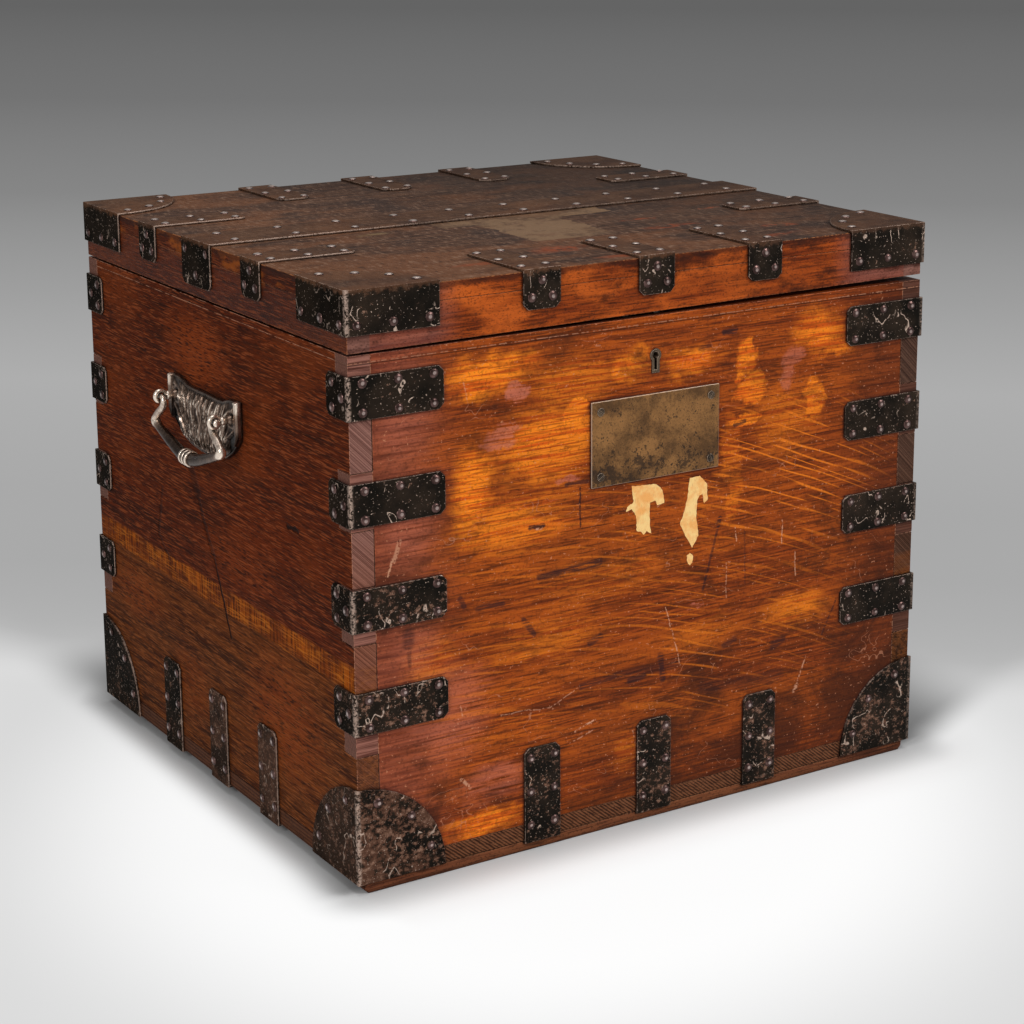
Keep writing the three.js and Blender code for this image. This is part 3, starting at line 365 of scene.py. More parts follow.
def front_oak():
    """The front and back walls, and the front's wear."""
    shader = Shader("oak_front")
    x, y, z = shader.axes
    parts = grain(shader, "x", 2.0)
    on_front = y.step(FRONT + 0.01, FRONT + 0.005)
    end_grain = shader.looks("x")
    ragged = shader.ragged()
    smear = shader.noise((14, 14, 40), detail=2, seed=8)
    grit = shader.noise((380, 380, 420), detail=1, seed=17)
    # Places across and up, moved a little, so that spots and strokes get ragged outlines
    flat = shader.vector(
        x + (smear - 0.5) * 0.03 + (ragged - 0.5) * 0.03,
        z + (ragged - 0.5) * 0.03 + (smear - 0.5) * 0.016, 0.0)
    line = shader.vector(x + (ragged - 0.5) * 0.004, z + (ragged - 0.5) * 0.006, 0.0)

    colour = board_colour(parts, (106, 44, 18), (152, 68, 24), (184, 88, 26), (72, 32, 16))
    sideways = abs(x)
    left_end = parts.streaks.tones(0.34, 0.66, (104, 50, 38), (160, 86, 62))
    right_end = parts.streaks.tones(0.34, 0.66, (72, 33, 20), (118, 56, 28))
    ends = left_end.tint(x.step(-0.1, 0.1), right_end)
    colour = colour.tint(sideways.step(0.19, 0.285) * 0.8, ends)

    # Glow where the polish has worn to bright orange
    glow = shader.marks(shader.patch, flat, FRONT_GLOW) * on_front
    glow_tone = (parts.streaks + (parts.fine - 0.5) * 0.8).tones(0.34, 0.6, (218, 92, 24), (255, 142, 34))
    glow_tone = glow_tone.tint(parts.pores.step(0.5, 0.64) * 0.6, (146, 62, 18))
    colour = colour.tint(glow * (0.65 + parts.bands * 0.8), glow_tone)
    pink = shader.marks(shader.patch, flat, FRONT_PINK) * on_front
    colour = colour.tint(pink * parts.fine.step(0.3, 0.56), (198, 112, 88))

    # Darker dirt towards the foot and the right, in blotches
    dirt = shader.noise((9, 9, 16), detail=5, roughness=0.7, distortion=0.8, seed=13)
    low = (z - x * 0.4).step(0.3, -0.1) * x.step(-0.3, 0.1)
    colour = colour.tint((dirt + low * 0.2).step(0.5, 0.72) * 0.75, (62, 32, 20))

    foot = z.step(0.25, 0.06) * x.step(-0.14, -0.02)
    colour = colour.tint(foot * 0.3, (56, 30, 22))

    # Rays of quarter-sawn oak, which slant down to the right and more so towards the right
    slant = z + x * 0.24 + x * x * 0.5
    wander = shader.noise((7, 1, 60), detail=1, seed=31, at=shader.vector(x, 0.0, slant))
    broken = shader.noise((13, 13, 130), detail=2, seed=33, at=shader.vector(x, 0.0, slant))
    where = shader.marks(shader.patch, flat, FRONT_RAYS) * (0.45 + on_front * 0.55)
    shown = shader.wave(slant + wander * 0.022, RAY_PITCH).step(0.62, 0.96) * broken.step(0.44, 0.54)
    colour = colour.tint(shown * where * 0.85, (236, 126, 34))

    # Fine grit, marks and scratches
    dark = shader.marks(shader.stroke, line, FRONT_DARK) * on_front
    pale = shader.marks(shader.stroke, line, FRONT_PALE) * on_front
    hair = shader.noise((16, 16, 22), detail=3, seed=71).near(0.5, 0.003)
    colour = colour.layers(
        (grit.step(0.46, 0.3) * 0.32, (52, 26, 18)),
        (grit.step(0.7, 0.76) * 0.6, (206, 140, 104)),
        (dark * (parts.pores + grit * 0.3).step(0.44, 0.6), (38, 28, 32)),
        (pale * grit.step(0.36, 0.52), (206, 150, 118)),
        (hair * smear.step(0.58, 0.64) * 0.45, (196, 132, 100)),
    )

    # Scribed lines, a painted shade line of a groove below the lower one, end grain and rubbed edges
    strip = sideways.step(SCRIBED, SCRIBED + 0.5 * MM)
    strip_tone = parts.fine.tones(0.36, 0.64, (84, 50, 42), (158, 108, 94))
    strip_tone = strip_tone.tint(x.step(0.0, 0.1) * 0.8, (64, 42, 32))
    lines = shader.most([sideways.near(SCRIBED, SCRIBE), z.near(LIPPING, SCRIBE)])
    # a dark line just below the scribed line: painted shade of a groove
    groove_shade = z.near(LIPPING - 1.4 * MM, 0.8 * MM)
    colour = colour.layers(
        (strip * 0.85, strip_tone),
        (lines * grit.step(0.4, 0.54) * 0.8, (178, 126, 98)),
        (groove_shade * 0.7, (44, 22, 16)),
        (end_grain * 0.8, (92, 60, 48)),
        (shader.edge() * grit.step(0.38, 0.56) * 0.8, (206, 146, 118)),
    )
    # Dirt and painted shade in corners and beside other parts
    colour = shader.corner_dirt_and_shade(colour, (58, 38, 36), 5 * MM)

    height = parts.streaks * 0.4 + parts.pores * 0.8 - dark * 0.8 - lines * 0.6 + ragged * 0.3 + grit * 0.4
    roughness = 0.36 + parts.bands * 0.16 + dirt * 0.16
    return shader.finish(colour, roughness, height=height, depth=0.8, shine=WOOD_SHINE)


SAP_FOOT = 0.19  # the yellow band of the side walls, from the floor of the chest
SAP_TOP = 0.214
SIDE_DARK = [  # the crack down the left wall, and dark marks beside it, across from front to back and up
    (29, 296, 15, 269, 5, 0.6), (15, 269, -4, 240, 4.5, 0.7), (-4, 240, -21, 207, 2.6, 1.0),
    (-21, 207, -38, 168, 2.2, 1.0), (-168, 312, -190, 313, 2.6, 0.9), (115, 282, 129, 230, 3.6, 0.45),
    (129, 230, 106, 211, 3, 0.35), (47, 330, 29, 296, 11, 0.5),
]
SIDE_GLOW = [
    (20, 440, 100, 50, 0.55), (-60, 250, 120, 40, 0.3), (-150, 120, 110, 80, 0.45), (190, 150, 90, 40, 0.35),
    (60, 90, 60, 60, 0.25),
]


def side_oak():
    """The side walls, darker than the front, partly in the wood's own tone and partly with painted shade,
    with one yellow band of sapwood along them.
    """
    shader = Shader("oak_side")
    x, y, z = shader.axes
    end_grain = shader.looks("y")
    colour, parts, flecks, grit = dark_oak(shader, end_grain)
    smear = shader.noise(14, detail=2, seed=8)

    # The yellow band, and the browner board below it
    height_up = z + (smear - 0.5) * 0.006
    below = height_up.step(SAP_FOOT + 4 * MM, SAP_FOOT)
    low_board = parts.streaks.tones(0.36, 0.62, (48, 25, 9), (112, 62, 26))
    low_board = low_board.layers(
        (flecks.step(0.54, 0.64) * 0.5, (146, 88, 44)),
        (grit.step(0.46, 0.32) * 0.5, (30, 15, 8)),
    )
    colour = colour.tint(below * 0.6, low_board)
    in_band = height_up.step(SAP_FOOT - 0.5 * MM, SAP_FOOT + 2 * MM) \
        * height_up.step(SAP_TOP + 1.5 * MM, SAP_TOP - 1.5 * MM)
    band = in_band * (1.0 - end_grain * 0.7)
    figure = shader.noise((10, 330, 24), detail=3, distortion=0.6, seed=27)
    worn = shader.noise((12, 22, 60), detail=3, seed=28)
    band_tone = figure.tones(0.36, 0.64, (74, 30, 8), (154, 76, 15))
    band_tone = band_tone.tint(flecks.step(0.5, 0.62) * 0.5, (190, 112, 36))
    colour = colour.tint(band * (0.3 + worn.step(0.36, 0.62) * 0.65), band_tone)

    # The crack, glow, the scribed line and rubbed edges
    on_left = x.step(0.0, -0.01)
    ragged = shader.ragged()
    line = shader.vector(y, z + (ragged - 0.5) * 0.012, 0.0)
    cracks = shader.marks(shader.stroke, line, SIDE_DARK) * on_left
    glow = shader.marks(shader.patch, shader.vector(y, z, 0.0), SIDE_GLOW)
    lines = z.near(LIPPING, SCRIBE)
    colour = colour.layers(
        (cracks, (24, 14, 12)),
        (glow * grit.step(0.3, 0.55), (140, 62, 22)),
        (lines * grit.step(0.36, 0.54) * 0.9, (160, 112, 88)),
        (shader.edge() * grit.step(0.4, 0.58) * 0.8, (190, 138, 112)),
    )
    # Dirt and painted shade in corners and beside other parts
    colour = shader.corner_dirt_and_shade(colour, (26, 18, 16), 7 * MM)
    height = parts.streaks * 0.4 + parts.pores * 0.8 + flecks * 0.5 - cracks * 1.5 - lines * 0.6
    return shader.finish(colour, 0.5 + parts.bands * 0.16, height=height, depth=0.8, shine=SIDE_SHINE)


def dark_oak(shader, end_grain):
    """Dark red-brown oak, its darkness partly the wood's own tone and partly painted shade of faces that look
    to the sides, with short pale flecks, and hatched end grain where the mask says.
    """
    x, y, z = shader.axes
    parts = grain(shader, "y", 5.0)
    cloud = shader.noise((6, 6, 8), detail=3, seed=23)
    flecks = shader.noise((150, 48, 820), detail=1, seed=21)
    grit = shader.noise((420, 110, 800), detail=1, seed=17)
    # The dark tones are partly painted shade of the sides
    colour = board_colour(parts, (54, 22, 10), (78, 30, 11), (96, 38, 12), (36, 16, 9)).layers(
        (cloud.step(0.5, 0.68) * 0.5, (112, 50, 18)),
        (flecks.step(0.54, 0.64) * 0.55, (142, 72, 38)),
        (grit.step(0.46, 0.32) * 0.5, (32, 15, 10)),
    )
    hatched = shader.vector(x + z, y, 0.0)
    hatch = shader.noise((1150, 330, 1), detail=1, seed=29, at=hatched)
    low = z.step(0.36, 0.24)
    ends = hatch.tones(0.34, 0.66, (106, 70, 62), (156, 112, 100))
    low_ends = hatch.tones(0.34, 0.66, (96, 54, 36), (138, 82, 58))
    ends = ends.layers(
        (low * 0.75, low_ends),
        (x.step(0.0, 0.1) * 0.85, hatch.tones(0.34, 0.66, (42, 31, 24), (80, 60, 47))),
    )
    return colour.tint(end_grain * 0.95, ends), parts, flecks, grit


def lid_sides(shader):
    """Colour and height of the lid's upright faces: like the case's front in front, and darker at the sides,
    partly with painted shade.
    """
    x, _, z = shader.axes
    parts = grain(shader, "x", 12.0)
    side, side_parts, _, grit = dark_oak(shader, 0.0)
    front = board_colour(parts, (98, 38, 16), (140, 60, 22), (170, 78, 26), (56, 24, 14))
    glow = shader.noise((16, 16, 34), detail=3, seed=41).step(0.44, 0.62)
    front = front.tint(glow * 0.75 * x.step(0.3, -0.1), (208, 100, 36))
    sideways = abs(x)
    ends = parts.streaks.tones(0.34, 0.66, (104, 56, 50), (142, 88, 76))
    front = front.tint(sideways.step(0.2, 0.24) * 0.8, ends)
    strip = sideways.step(SCRIBED, SCRIBED + 0.5 * MM)
    front = front.tint(strip * 0.8, parts.streaks.tones(0.34, 0.66, (92, 62, 54), (140, 98, 86)))
    dirt = shader.noise((18, 18, 30), detail=5, roughness=0.7, seed=13)
    right = x.step(-0.1, 0.35)
    front = front.layers(
        ((dirt + right * 0.1).step(0.52, 0.7) * 0.8, (60, 28, 16)),
        (grit.step(0.46, 0.3) * 0.5, (48, 24, 18)),
    )

    # Painted shade that darkens the sides further, worn orange places along the top of the sides, and dark
    # dirt at the top edges
    bare = shader.noise((30, 26, 60), detail=3, seed=43).step(0.5, 0.6)
    high = z.step(BOARD_TOP - 24 * MM, BOARD_TOP - 10 * MM)
    side = side.layers(
        (0.3, (44, 20, 14)),
        (bare * high * 0.6, (150, 78, 26)),
    )
    colour = front.tint(shader.looks("x"), side)
    ragged = shader.ragged()
    top_dirt = (z + (ragged - 0.5) * 0.016).step(BOARD_TOP - 8 * MM, BOARD_TOP - 4 * MM)
    colour = colour.tint(top_dirt * 0.65, (46, 26, 20))
    height = parts.streaks * 0.5 + side_parts.pores * 0.5 + parts.pores * 0.5 + ragged * 0.3
    return colour, height, grit


def rail_oak():
    """The lid's frame."""
    shader = Shader("oak_rail")
    colour, height, grit = lid_sides(shader)
    rubbed = shader.edge() * grit.step(0.4, 0.56)
    colour = colour.tint(rubbed * 0.7, (200, 132, 92))
    # Dirt and painted shade in corners and beside other parts
    colour = shader.corner_dirt_and_shade(colour, (40, 26, 22), 5 * MM)
    return shader.finish(colour, 0.42, height=height, depth=0.8, shine=WOOD_SHINE)


# Wear on the top of the lid, in millimetres across and back
TOP_TAN = [(12, -27, 98, 30, 1.0), (-4, -104, 46, 66, 1.0)]
TOP_RED = [
    (-56, -219, 42, 20, 0.8), (-28, -275, 34, 10, 0.7), (102, -115, 22, 6, 0.7), (104, -163, 40, 9, 0.8),
    (204, -96, 20, 6, 0.7), (198, -219, 26, 12, 0.9), (-160, -241, 34, 8, 0.6), (150, -262, 60, 10, 0.5),
]
TOP_OVAL = (-157, -50, 24, 9, 0.7)
TOP_SPECK = (100, -11, 9, 4, 1.0)


def lid_top_oak():
    """The lid's two boards, grey-brown with dirt, with rubbed places and the ghost of a label."""
    shader = Shader("oak_lid_top")
    x, y, z = shader.axes
    parts = grain(shader, "x", 20.0)
    ragged = shader.noise(55, detail=4, roughness=0.65, seed=4)
    smear = shader.noise(12, detail=3, seed=8)
    top = shader.looks("z")
    under = z.step(BOARD_TOP - 4 * MM, BOARD_TOP - 6 * MM)
    colour = top_patina(shader, parts)
    flat = shader.vector(x + (ragged - 0.5) * 0.05, y + (smear - 0.5) * 0.04, 0.0)
    red = shader.marks(shader.patch, flat, TOP_RED)
    square = shader.vector(x + (ragged - 0.5) * 0.03, y + (smear - 0.5) * 0.016, 0.0)
    label = shader.most(box_mask(shader, square, spot) for spot in TOP_TAN)
    worn = (ragged + smear * 0.4).step(0.62, 0.78)

    # Inside, the boards are plain oak, and their edges match the frame below them
    plain = board_colour(parts, (96, 56, 30), (132, 84, 46), (152, 102, 58), (70, 42, 26))
    colour = colour.layers(
        (red * ragged.step(0.6, 0.45), (134, 66, 38)),
        (label * (0.9 - worn * 0.6), shader.mix(ragged, (104, 80, 60), (142, 112, 84))),
        (shader.patch(flat, TOP_OVAL), (126, 102, 72)),
        (shader.patch(shader.vector(x, y, 0.0), TOP_SPECK), (214, 176, 96)),
        (under, plain),
    )
    sides, side_height, grit = lid_sides(shader)
    rubbed = shader.edge(0.03, 0.15) * grit.step(0.42, 0.58)
    colour = sides.layers((top, colour), (rubbed * 0.8, (150, 94, 56)))
    # Dirt and painted shade in corners and beside other parts
    colour = shader.corner_dirt_and_shade(colour, (34, 24, 20), 5 * MM)
    height = parts.streaks * 0.4 + ragged * 0.9 + side_height * 0.5 + grit * 0.6
    return shader.finish(colour, 0.5 + smear * 0.2, height=height, depth=0.9, shine=WOOD_SHINE)


def top_patina(shader, parts):
    """Grey-brown top of the lid with mottled dirt: warmer at the front left, and darker and greyer towards
    the right and the back.
    """
    x, y, _ = shader.axes
    dirt = shader.noise(11, detail=6, roughness=0.7, distortion=0.6, seed=53)
    brown = shader.noise((7, 12, 7), detail=4, roughness=0.6, seed=57) \
        + (x * 0.7 + y).step(-0.1, -0.4) * 0.12
    scuffs = shader.noise((240, 80, 240), detail=3, roughness=0.65, seed=59)
    away = (x * 0.8 + y * 0.5).step(-0.1, 0.3)
    return board_colour(parts, (54, 36, 28), (84, 58, 44), (104, 74, 56), (36, 25, 21)).layers(
        (dirt.step(0.46, 0.64) * 0.6, (50, 40, 37)),
        (brown.step(0.48, 0.64) * 0.6, (116, 74, 48)),
        (scuffs.step(0.53, 0.68) * 0.55, (136, 106, 86)),
        (scuffs.step(0.44, 0.32) * 0.5, (34, 25, 22)),
        (away * 0.72, (37, 31, 28)),
    )


BOX_EDGE = 1.5  # width of a box's soft edge, in millimetres


def box_mask(shader, flat, spot):
    """1 inside an upright box: middle across and up, half its sides, in millimetres, and strength."""
    across, rise, half_across, half_rise, strength = spot
    away_x, away_y, _ = shader.split(shader.vector_math("ABSOLUTE", shader.vector_math(
        "SUBTRACT", flat, (across * MM, rise * MM, 0))))
    inside_x = away_x.step(half_across * MM, (half_across - BOX_EDGE) * MM)
    inside_y = away_y.step(half_rise * MM, (half_rise - BOX_EDGE) * MM)
    return inside_x * inside_y * strength


HATCH_PITCH = 4.2 * MM


def base_oak():
    """The bottom board, with diagonal end grain on its edges, and the runners."""
    shader = Shader("oak_base")
    x, y, z = shader.axes
    parts = grain(shader, "x", 33.0)
    colour = board_colour(parts, (80, 44, 30), (116, 66, 44), (136, 82, 52), (54, 32, 24))
    hatched = shader.vector(x * 0.8 + z * 1.4, y, 0.0)
    hatch = shader.noise((620, 30, 1), detail=1.5, seed=37, at=hatched)
    slanted = x + z * 1.2 + (hatch - 0.5) * 0.004
    hatch = hatch * 0.6 + shader.wave(slanted, HATCH_PITCH) * 0.18 + 0.2
    ends = hatch.tones(0.34, 0.66, (42, 24, 16), (124, 80, 54))
    board = z.step(CASE_FOOT - 0.5 * MM, CASE_FOOT)
    grit = shader.noise(420, detail=1, seed=17)
    rubbed = shader.edge() * grit.step(0.4, 0.56) * shader.facing[0].step(0.6, 0.3)
    colour = colour.layers(
        (board * 0.85, ends),
        (shader.looks("x") * 0.65, (66, 34, 18)),
        (grit.step(0.46, 0.3) * 0.5, (36, 22, 18)),
        (rubbed * 0.6, (170, 118, 84)),
    )
    # Dirt and painted shade in corners and beside other parts
    colour = shader.corner_dirt_and_shade(colour, (30, 20, 18), 6 * MM)
    height = parts.streaks * 0.6 + hatch * 0.5 * board
    return shader.finish(colour, 0.5 + parts.bands * 0.2, height=height, depth=0.7, shine=WOOD_SHINE)


# Metals

def japanned_iron(name, chips):
    """Black japanned strapping, chipped and scratched, with rubbed edges and a brown top, painted shade on
    faces that look to the sides, and a painted highlight on thin edges that look to the front.
    """
    shader = Shader(name)
    x, y, z = shader.axes
    cloud = shader.noise(24, detail=4, roughness=0.6, seed=3)
    flakes = shader.noise((170, 170, 210), detail=5, roughness=0.78, seed=7)
    grit = shader.noise(520, detail=1, seed=19)
    sideways = shader.looks("x")
    colour = cloud.tones(0.35, 0.7, (19, 16, 12), (48, 38, 30))
    # Painted shade: faces that look to the sides are darker, and their chips, scratches and rubbed edges
    # dimmer
    colour = colour.tint(sideways * 0.45, (14, 9, 5))
    worst = x.step(-0.15, -0.2) * z.step(0.16, 0.1) * (1.0 - sideways)
    brown = sideways * x.step(0.0, -0.01) * z.step(0.15, 0.12) \
        * y.step(0.07, 0.04) * (1.0 - y.step(-0.19, -0.22) * 0.6)
    brown = brown * (0.35 + cloud.step(0.4, 0.52) * 0.65)
    colour = colour.tint(brown * 0.6, (78, 56, 45))
    loose = flakes + (cloud - 0.5) * 0.4 - sideways * 0.03 + worst * 0.08 + brown * 0.09
    chipped = loose.step(0.64 - chips, 0.69 - chips)
    chip_tone = flakes.tones(0.5, 0.72, (92, 62, 48), (160, 124, 104))
    colour = colour.tint(chipped * (0.85 - sideways * 0.4), chip_tone)

    # Curling scratches and bright specks
    mesh_lines = shader.noise((48, 48, 34), detail=2, roughness=0.5, distortion=0.2, seed=5)
    scratch = mesh_lines.near(0.5, 0.013) * shader.noise(44, seed=15).step(0.54, 0.6)
    scratch = scratch * grit.step(0.36, 0.46)
    specks = grit.step(0.675, 0.73)
    bright = shader.most([scratch, specks * 0.8])
    colour = colour.tint(bright * (0.9 - sideways * 0.4), (206, 180, 162))

    # Faces that look up are brown with wear, down to a ragged line below the fold
    top = shader.most([
        shader.looks("z"),
        (z + (flakes - 0.5) * 0.02).step(BOARD_TOP - 3 * MM, BOARD_TOP + 1 * MM) * 0.8,
    ]) * z.step(BOARD_TOP - 12 * MM, BOARD_TOP - 11 * MM)
    patina = top_patina(shader, grain(shader, "x", 20.0))
    patina = patina.tint(0.5, cloud.tones(0.36, 0.62, (66, 46, 36), (96, 68, 50)))
    colour = colour.tint(top * 0.95, patina)

    # Rubbed edges and upright corners, and a painted highlight on the thin edges that look to the front from
    # the top and the sides
    behind = y.step(FRONT + 1 * MM, FRONT + 2 * MM)
    outer_skin = shader.most([
        z.step(BOARD_TOP + 1.0 * MM, BOARD_TOP + 1.4 * MM),
        abs(x).step(HALF_WIDTH + 1.0 * MM, HALF_WIDTH + 1.4 * MM),
    ])
    front_edge_highlight = shader.turned_back.step(-0.5, -0.8) * behind * outer_skin
    front_edge_highlight = front_edge_highlight * (1.0 - x.step(-0.2, -0.06) * 0.75)
    corner = abs(x).step(HALF_WIDTH - 2.5 * MM, HALF_WIDTH + 0.8 * MM) \
        * y.step(FRONT + 2.5 * MM, FRONT - 0.8 * MM) \
        * (1.0 - x.step(-0.01, 0.01) * 0.7)
    rubbed = shader.most([shader.edge(0.02, 0.12) * 0.8, corner])
    rubbed = rubbed * (flakes + grit * 0.7).step(0.72, 0.94)
    # the thin edges that look to the front get a painted highlight in the rubbed tone
    rubbed = shader.most([rubbed, front_edge_highlight * (flakes + grit * 0.7).step(0.58, 0.82)])
    colour = colour.tint(rubbed * (0.9 - sideways * 0.3), (190, 164, 148))
    bare = shader.most([chipped * 0.3, bright * 0.6, rubbed * 0.7])
    height = cloud * 1.2 + flakes * 0.8 - chipped * 0.5 - bright * 0.4
    return shader.finish(colour, 0.34 + chipped * 0.25 + top * 0.25 + flakes * 0.1, metallic=bare * 0.6,
                         height=height, depth=0.5, shine=(1.0 - sideways * 0.9) * IRON_SHINE)


def nail_iron():
    """Nail heads, with a painted highlight on each crown, where the heads are also rubbed, and a brighter
    painted highlight on the nails of the lid's top.
    """
    shader = Shader("nail_iron")
    z = shader.axes[2]
    cloud = shader.noise(160, detail=3, seed=2)
    colour = cloud.tones(0.38, 0.64, (64, 46, 42), (108, 83, 78))
    lid_top_highlight = z.step(BOARD_TOP + 2.9 * MM, BOARD_TOP + 3.5 * MM)
    crown_highlight = (1.0 - shader.most(shader.facing)).step(0.022, 0.004)
    # Painted highlights: on the nails of the lid's top, and on each crown
    colour = colour.layers(
        (lid_top_highlight * 0.8, (226, 208, 196)),
        (crown_highlight * 0.5, (226, 204, 196)),
    )
    return shader.finish(colour, 0.25 + cloud * 0.12, metallic=0.9, height=cloud, depth=0.12)


def cast_iron():
    """The handles: dark in the hollows, and rubbed bright on the ridges, with a painted highlight there."""
    shader = Shader("cast_handle")
    relief = Field(shader, shader.add("ShaderNodeAttribute", attribute_name="relief").outputs["Fac"])
    cloud = shader.noise(90, detail=4, roughness=0.6, seed=6)
    fine = shader.noise(520, detail=2, seed=9)
    rub_and_highlight = relief + (cloud - 0.5) * 0.4 + (fine - 0.5) * 0.3
    # Rubbing and painted highlights lighten the ridges, up to near white
    colour = rub_and_highlight.tones(0.1, 0.6, (56, 42, 34), (152, 128, 112))
    colour = colour.layers(
        (rub_and_highlight.step(0.55, 0.9), (254, 236, 218)),
        (rub_and_highlight.step(0.05, -0.3), (14, 10, 8)),
    )
    # Dirt and painted shade in corners and beside other parts
    colour = shader.corner_dirt_and_shade(colour, (26, 20, 18), 4 * MM)
    height = cloud * 0.8 + fine * 0.5
    return shader.finish(colour, 0.2 + cloud * 0.18, metallic=0.9, height=height, depth=0.3)


def brass(name, dark, light, stain, roughness, rim=0.7):
    """Aged brass between two tones, with stains and pits, and with rims rubbed bright and given a painted
    highlight.
    """
    shader = Shader(name)
    z = shader.axes[2]
    cloud = shader.noise(34, detail=4, roughness=0.6, seed=14)
    blots = shader.noise(70, detail=4, roughness=0.7, seed=17)
    specks = shader.noise(420, detail=2, roughness=0.6, seed=19)
    colour = (cloud + (specks - 0.5) * 0.5).tones(0.34, 0.68, dark, light)
    # more of the darker tone below about 0.36 m up
    lower_down = z.step(0.385, 0.345) * 0.14
    colour = colour.layers(
        ((blots + lower_down + (specks - 0.5) * 0.5).step(0.6, 0.7) * 0.8, stain),
        (specks.step(0.56, 0.66) * 0.6, stain),
        # bright rims: rubbing and a painted highlight
        (shader.edge() * rim, (206, 182, 160)),
    )
    # Dirt and painted shade in corners and beside other parts
    colour = shader.corner_dirt_and_shade(colour, (40, 28, 20), 2.5 * MM)
    height = blots * 0.6 + specks * 0.5
    return shader.finish(colour, roughness + cloud * 0.15, metallic=0.65, height=height, depth=0.3)


def plain_steel():
    shader = Shader("steel")
    cloud = shader.noise(60, detail=4, seed=14)
    lines = shader.noise((900, 40, 900), detail=2, seed=4)
    colour = cloud.tones(0.38, 0.66, (92, 84, 78), (158, 150, 142))
    return shader.finish(colour, 0.32 + cloud * 0.2, metallic=0.9, height=lines, depth=0.15)


def green_baize():
    shader = Shader("baize")
    cloud = shader.noise(9, detail=4, roughness=0.6, seed=3)
    fibres = shader.noise(1400, detail=2, roughness=0.7, seed=5)
    dust = shader.noise(70, detail=4, seed=8)
    colour = cloud.tones(0.36, 0.66, (28, 62, 40), (44, 84, 54))
    colour = colour.layers(
        (fibres.step(0.4, 0.7) * 0.5, (70, 108, 76)),
        (dust.step(0.58, 0.75) * 0.3, (112, 118, 92)),
    )
    return shader.finish(colour, 1.0, height=fibres + dust * 0.5, depth=0.5, shine=0.0, Sheen_Weight=0.1,
                         Sheen_Roughness=0.6)


def old_paper():
    shader = Shader("paper")
    cloud = shader.noise(70, detail=4, roughness=0.65, seed=3)
    fibres = shader.noise((800, 200, 260), detail=2, seed=5)
    colour = cloud.tones(0.36, 0.64, (248, 176, 96), (255, 214, 140))
    colour = colour.tint(fibres.step(0.55, 0.75) * 0.35, (190, 128, 74))
    return shader.finish(colour, 0.85, height=cloud + fibres, depth=0.5)


materials = {
    "front": front_oak(),
    "side": side_oak(),
    "rail": rail_oak(),
    "lid_top": lid_top_oak(),
    "base": base_oak(),
    "iron": japanned_iron("japanned_iron", 0.0),
    "worn_iron": japanned_iron("japanned_iron_worn", 0.1),
    "nail": nail_iron(),
    "cast": cast_iron(),
    "plate": brass("name_plate_brass", (94, 64, 34), (158, 112, 64), (46, 32, 22), 0.4),
    "brass": brass("brass", (120, 96, 64), (176, 148, 108), (70, 52, 36), 0.36),
    "tarnished": brass("brass_tarnished", (66, 54, 42), (112, 94, 74), (36, 28, 22), 0.34, rim=1.0),
    "steel": plain_steel(),
    "baize": green_baize(),
    "paper": old_paper(),
}


# Pieces

def add_object(name, mesh, body, material):
    piece = bpy.data.objects.new(name, mesh)
    bpy.context.scene.collection.objects.link(piece)
    mesh.materials.clear()
    mesh.materials.append(materials[material])
    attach(piece, body)
    return piece


def body_of_node(name):
    return body_of(nodes[name])[0]


def made_mesh(work, name):
    """The mesh that the work has come to, which is then let go."""
    mesh = bpy.data.meshes.new(name)
    work.to_mesh(mesh)
    work.free()
    return mesh


def close_ring(work, lower, upper):
    """Faces between two closed rows of as many vertices."""
    for number in range(len(lower)):
        after = (number + 1) % len(lower)
        work.faces.new((lower[number], lower[after], upper[after], upper[number]))


def add_slab(work, outline, front, back):
    """A flat piece that faces the front, with an outline across and up."""
    upper = [work.verts.new((x, front, z)) for x, z in outline]
    lower = [work.verts.new((x, back, z)) for x, z in outline]
    work.faces.new(upper)
    work.faces.new(list(reversed(lower)))
    close_ring(work, lower, upper)


LID_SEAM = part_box("lid_board_front")[0].z  # boards on frame, which is filled and doesn't show


def soften(piece, width, segments=2, angle=40):
    """Rounds the sharp edges of a piece, but not the lid's filled seam, and keeps its flat faces flat."""
    work = bmesh.new()
    work.from_mesh(piece.data)
    weight = work.edges.layers.float.new("bevel_weight_edge")
    for edge in work.edges:
        on_seam = all(abs(vertex.co.z - LID_SEAM) < 0.05 * MM for vertex in edge.verts)
        edge[weight] = 0.0 if on_seam or edge.calc_face_angle(0.0) < math.radians(angle) else 1.0
        edge.smooth = not on_seam
    work.to_mesh(piece.data)
    work.free()
    bevel = piece.modifiers.new("soften", "BEVEL")
    bevel.width = width
    bevel.segments = segments
    bevel.limit_method = "WEIGHT"
    piece.data.shade_smooth()
    shading = piece.modifiers.new("shading", "WEIGHTED_NORMAL")
    shading.keep_sharp = True


def dress(node, material, width):
    """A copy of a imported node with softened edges, which stands for it."""
    source = nodes[node].data
    mesh = bpy.data.meshes.new(f"{node}_worn")
    places = [vertex.co for vertex in source.vertices]
    mesh.from_pydata(places, [], [face.vertices[:] for face in source.polygons])
    work = bmesh.new()
    work.from_mesh(mesh)
    bmesh.ops.remove_doubles(work, verts=work.verts, dist=1e-6)
    bmesh.ops.dissolve_limit(work, angle_limit=math.radians(1), verts=work.verts, edges=work.edges)
    work.to_mesh(mesh)
    work.free()
    piece = add_object(mesh.name, mesh, body_of_node(node), material)
    soften(piece, width)
    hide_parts(node)
    return piece


